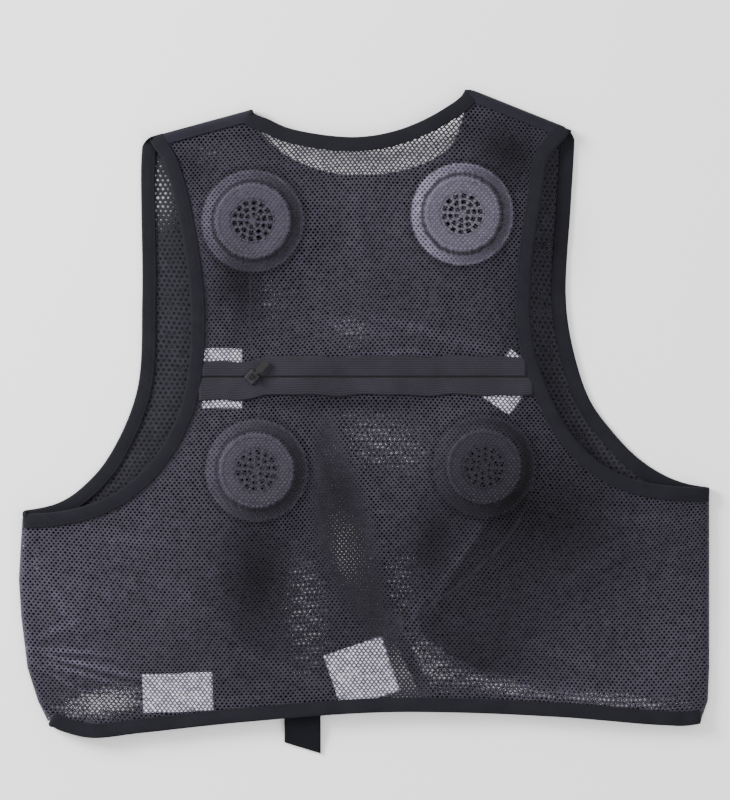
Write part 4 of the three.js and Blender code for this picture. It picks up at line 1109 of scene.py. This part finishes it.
def atFan(name, degrees):        # where a lead leaves a fan
    centre, angle = fanCentre[name], math.radians(degrees)
    return [centre.x + lead["out"] * math.cos(angle), centre.y + lead["out"] * math.sin(angle)]


def atShare(x, y, beyondX=0.0, beyondY=0.0):
    return [float(shareX(x)) + beyondX, float(shareY(y)) + beyondY]


def leadHeight(p):
    return [p[0], p[1], min(lead["level"], float(backZ(p[0], p[1])) - lead["under"])]


connectorAt, plugAt = (0.2, 0.671), (0.1, 0.15)
leadRows = {
    "lead_left": [atFan("upper_left", -92), atShare(-0.33, 0.6), atShare(-0.296, 0.54),
                  atFan("lower_left", 88)],
    "lead_right_upper": [atFan("upper_right", -95), atShare(0.245, 0.712),
                         atShare(*connectorAt, beyondY=lead["connectorHalf"])],
    "lead_right_lower": [atShare(*connectorAt, beyondY=-lead["connectorHalf"]), atShare(0.15, 0.6),
                         atShare(0.133, 0.5), atShare(0.176, 0.437), atFan("lower_right", 175)],
    "lead_power": [atFan("lower_right", 20), atShare(0.5, 0.385), atShare(0.44, 0.3), atShare(0.3, 0.22),
                   atShare(*plugAt, beyondX=lead["plugHalf"])],
}
for name, rows in leadRows.items():
    curve = leadRun([leadHeight(p) for p in rows])
    sides = np.cross(unit(np.gradient(curve, axis=0)), (0, 0, 1.0))
    angle = np.linspace(0, 2 * math.pi, lead["sides"] + 1)
    section = np.stack([np.cos(angle), np.sin(angle)], 1) * lead["radius"]
    cord = gridMesh(name, ribbon(curve, sides, section), closeColumns=True)
    pieceOf(name, cord, finishes["lead"])
for name in ("lead_connector", "power_plug"):
    low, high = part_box(name)

    def block(bm):
        addBlock(bm, high - low, (low + high) / 2)
        bevelEdges(bm, bm.edges[:], lead["bevel"])

    pieceOf(name, meshFrom(name, block), finishes["lead"])


# slider and pull, turned as in the model
slider = {"body": (10 * mm, 9 * mm, 3 * mm), "bevel": 0.9 * mm, "ear": (2.4 * mm, 1 * mm, 6.2 * mm),
          "earOut": 2.1 * mm, "bar": 0.8 * mm, "barLong": 4.2 * mm, "axle": 5.4 * mm,
          "turn": math.radians(45)}
pull = {"eye": 2.1 * mm, "hole": 1.1 * mm, "eyeWide": 2.6 * mm, "plate": (12 * mm, 5.5 * mm, 1.4 * mm),
        "corner": 2.2 * mm, "plateOut": 11.5 * mm, "neck": (5 * mm, 2.4 * mm, 1.3 * mm), "neckOut": 4.2 * mm,
        "droop": math.radians(8)}
sliderLow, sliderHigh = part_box("zip_slider")
sliderMiddle = (sliderLow + sliderHigh) / 2
onZip = Matrix.Translation((sliderMiddle.x, sliderMiddle.y, sliderLow.z))
onZip = onZip @ Matrix.Rotation(slider["turn"], 4, "Z")


def sliderMesh(bm):        # a rounded body, two ears and the bar between them
    addBlock(bm, slider["body"], (0, 0, slider["body"][2] / 2))
    bevelEdges(bm, bm.edges[:], slider["bevel"])
    for side in (-1, 1):
        addBlock(bm, slider["ear"], (0, side * slider["earOut"], slider["ear"][2] / 2))
    bar = bmesh.ops.create_cone(bm, cap_ends=True, segments=24, radius1=slider["bar"], radius2=slider["bar"],
                                depth=slider["barLong"])["verts"]
    turnVerts(bm, bar, math.pi / 2, "X")
    bmesh.ops.translate(bm, verts=bar, vec=(0, 0, slider["axle"]))
    bmesh.ops.transform(bm, matrix=onZip, verts=bm.verts)


def pullMesh(bm):        # an eye round the bar, a neck and a plate with rounded corners
    for radius in (pull["eye"], pull["hole"]):
        bmesh.ops.create_circle(bm, segments=32, radius=radius)
    bmesh.ops.bridge_loops(bm, edges=bm.edges[:])
    giveWall(bm, pull["eyeWide"])
    bmesh.ops.translate(bm, verts=bm.verts, vec=(0, 0, -pull["eyeWide"] / 2))
    turnVerts(bm, bm.verts, math.pi / 2, "X")
    plate = addBlock(bm, pull["plate"])
    edges = {e for v in plate for e in v.link_edges}
    upright = [e for e in edges if abs((e.verts[0].co - e.verts[1].co).z) > 1 * mm]
    eyeVerts = set(bm.verts) - set(plate)
    bevelEdges(bm, upright, pull["corner"], 5)
    plate = [v for v in bm.verts if v not in eyeVerts]
    bmesh.ops.translate(bm, verts=plate, vec=(pull["plateOut"], 0, 0))
    addBlock(bm, pull["neck"], (pull["neckOut"], 0, 0))
    turnVerts(bm, bm.verts, pull["droop"], "Y")
    bmesh.ops.translate(bm, verts=bm.verts, vec=(0, 0, slider["axle"]))
    bmesh.ops.recalc_face_normals(bm, faces=bm.faces)
    bmesh.ops.transform(bm, matrix=onZip, verts=bm.verts)


pieceOf("zip_slider", meshFrom("zip_slider", sliderMesh), finishes["slider"], smooth=False)
pieceOf("zip_pull", meshFrom("zip_pull", pullMesh), finishes["pull"], "pull", smooth=False)


# strap end, folded double and stitched, hanging out of the hem
strap = {"at": (-0.178, 0.0), "up": 17 * mm, "long": 41 * mm, "wide": 29 * mm, "thick": 2.2 * mm,
         "cut": math.radians(-17), "cutFrom": 0.35, "rows": 24, "columns": 16}


def strapGrid():
    x, y = atShare(*strap["at"])
    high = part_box("strap_tail")[1].z - strap["thick"]
    s = np.linspace(0, 1, strap["rows"])[:, None]
    across = np.linspace(-0.5, 0.5, strap["columns"])[None, :] * strap["wide"]
    z = np.interp(s, [0, 0.45, 0.62, 0.9, 1], [high, high, 3 * mm, 0.1 * mm, 0.1 * mm]) + 0 * across
    slope = math.tan(strap["cut"]) * across * np.clip((s - strap["cutFrom"]) / (1 - strap["cutFrom"]), 0, 1)
    gx, gy = x + across + 0 * s, y + strap["up"] - s * strap["long"] + slope
    upper = np.stack([gx, gy, z + strap["thick"]], 2)
    lower = np.stack([gx, gy, z], 2)[:, ::-1]
    return np.concatenate([upper, lower, upper[:, :1]], 1)


strapMesh = gridMesh("strap_tail", strapGrid(), closeColumns=True)
strapEnd = pieceOf("strap_tail", strapMesh, finishes["strap"])
yarnShare, leastShare = 0.8, 0.31        # yarn in a net's cells, and least share of its box, for each net's area, which nothing uses
for name, (item, area) in netPieces.items():
    low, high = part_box(name)
    wide, long = high.x - low.x, high.y - low.y
    area = max(area * yarnShare, leastShare * wide * long)
print("pieces made", flush=True)


# floor and light
stage = {"floor": 3.0, "paper": "#fdfdfd", "sky": 0.95,
         "lights": {"key": ((-1.9, 1.0, 1.15), 1.0, 120), "fill": ((0.9, -0.6, 2.4), 2.4, 34)}}


def makeStage():
    floor = bpy.data.objects.new("floor", meshFrom("floor", lambda bm: bmesh.ops.create_grid(
        bm, x_segments=1, y_segments=1, size=stage["floor"])))
    floor.data.materials.append(finishOf("white paper floor", stage["paper"], 0.9))
    bpy.context.scene.collection.objects.link(floor)
    for name, (place, size, power) in stage["lights"].items():
        light = bpy.data.lights.new(name, "AREA")
        light.size = size
        light.energy = power
        lamp = bpy.data.objects.new(name, light)
        lamp.location = place
        lamp.rotation_euler = (-Vector(place)).to_track_quat("-Z", "Y").to_euler()
        bpy.context.scene.collection.objects.link(lamp)
    world = bpy.data.worlds.new("studio")
    world.use_nodes = True
    sky = world.node_tree.nodes["Background"]
    sky.inputs["Color"].default_value = (1, 1, 1, 1)
    sky.inputs["Strength"].default_value = stage["sky"]
    bpy.context.scene.world = world


makeStage()
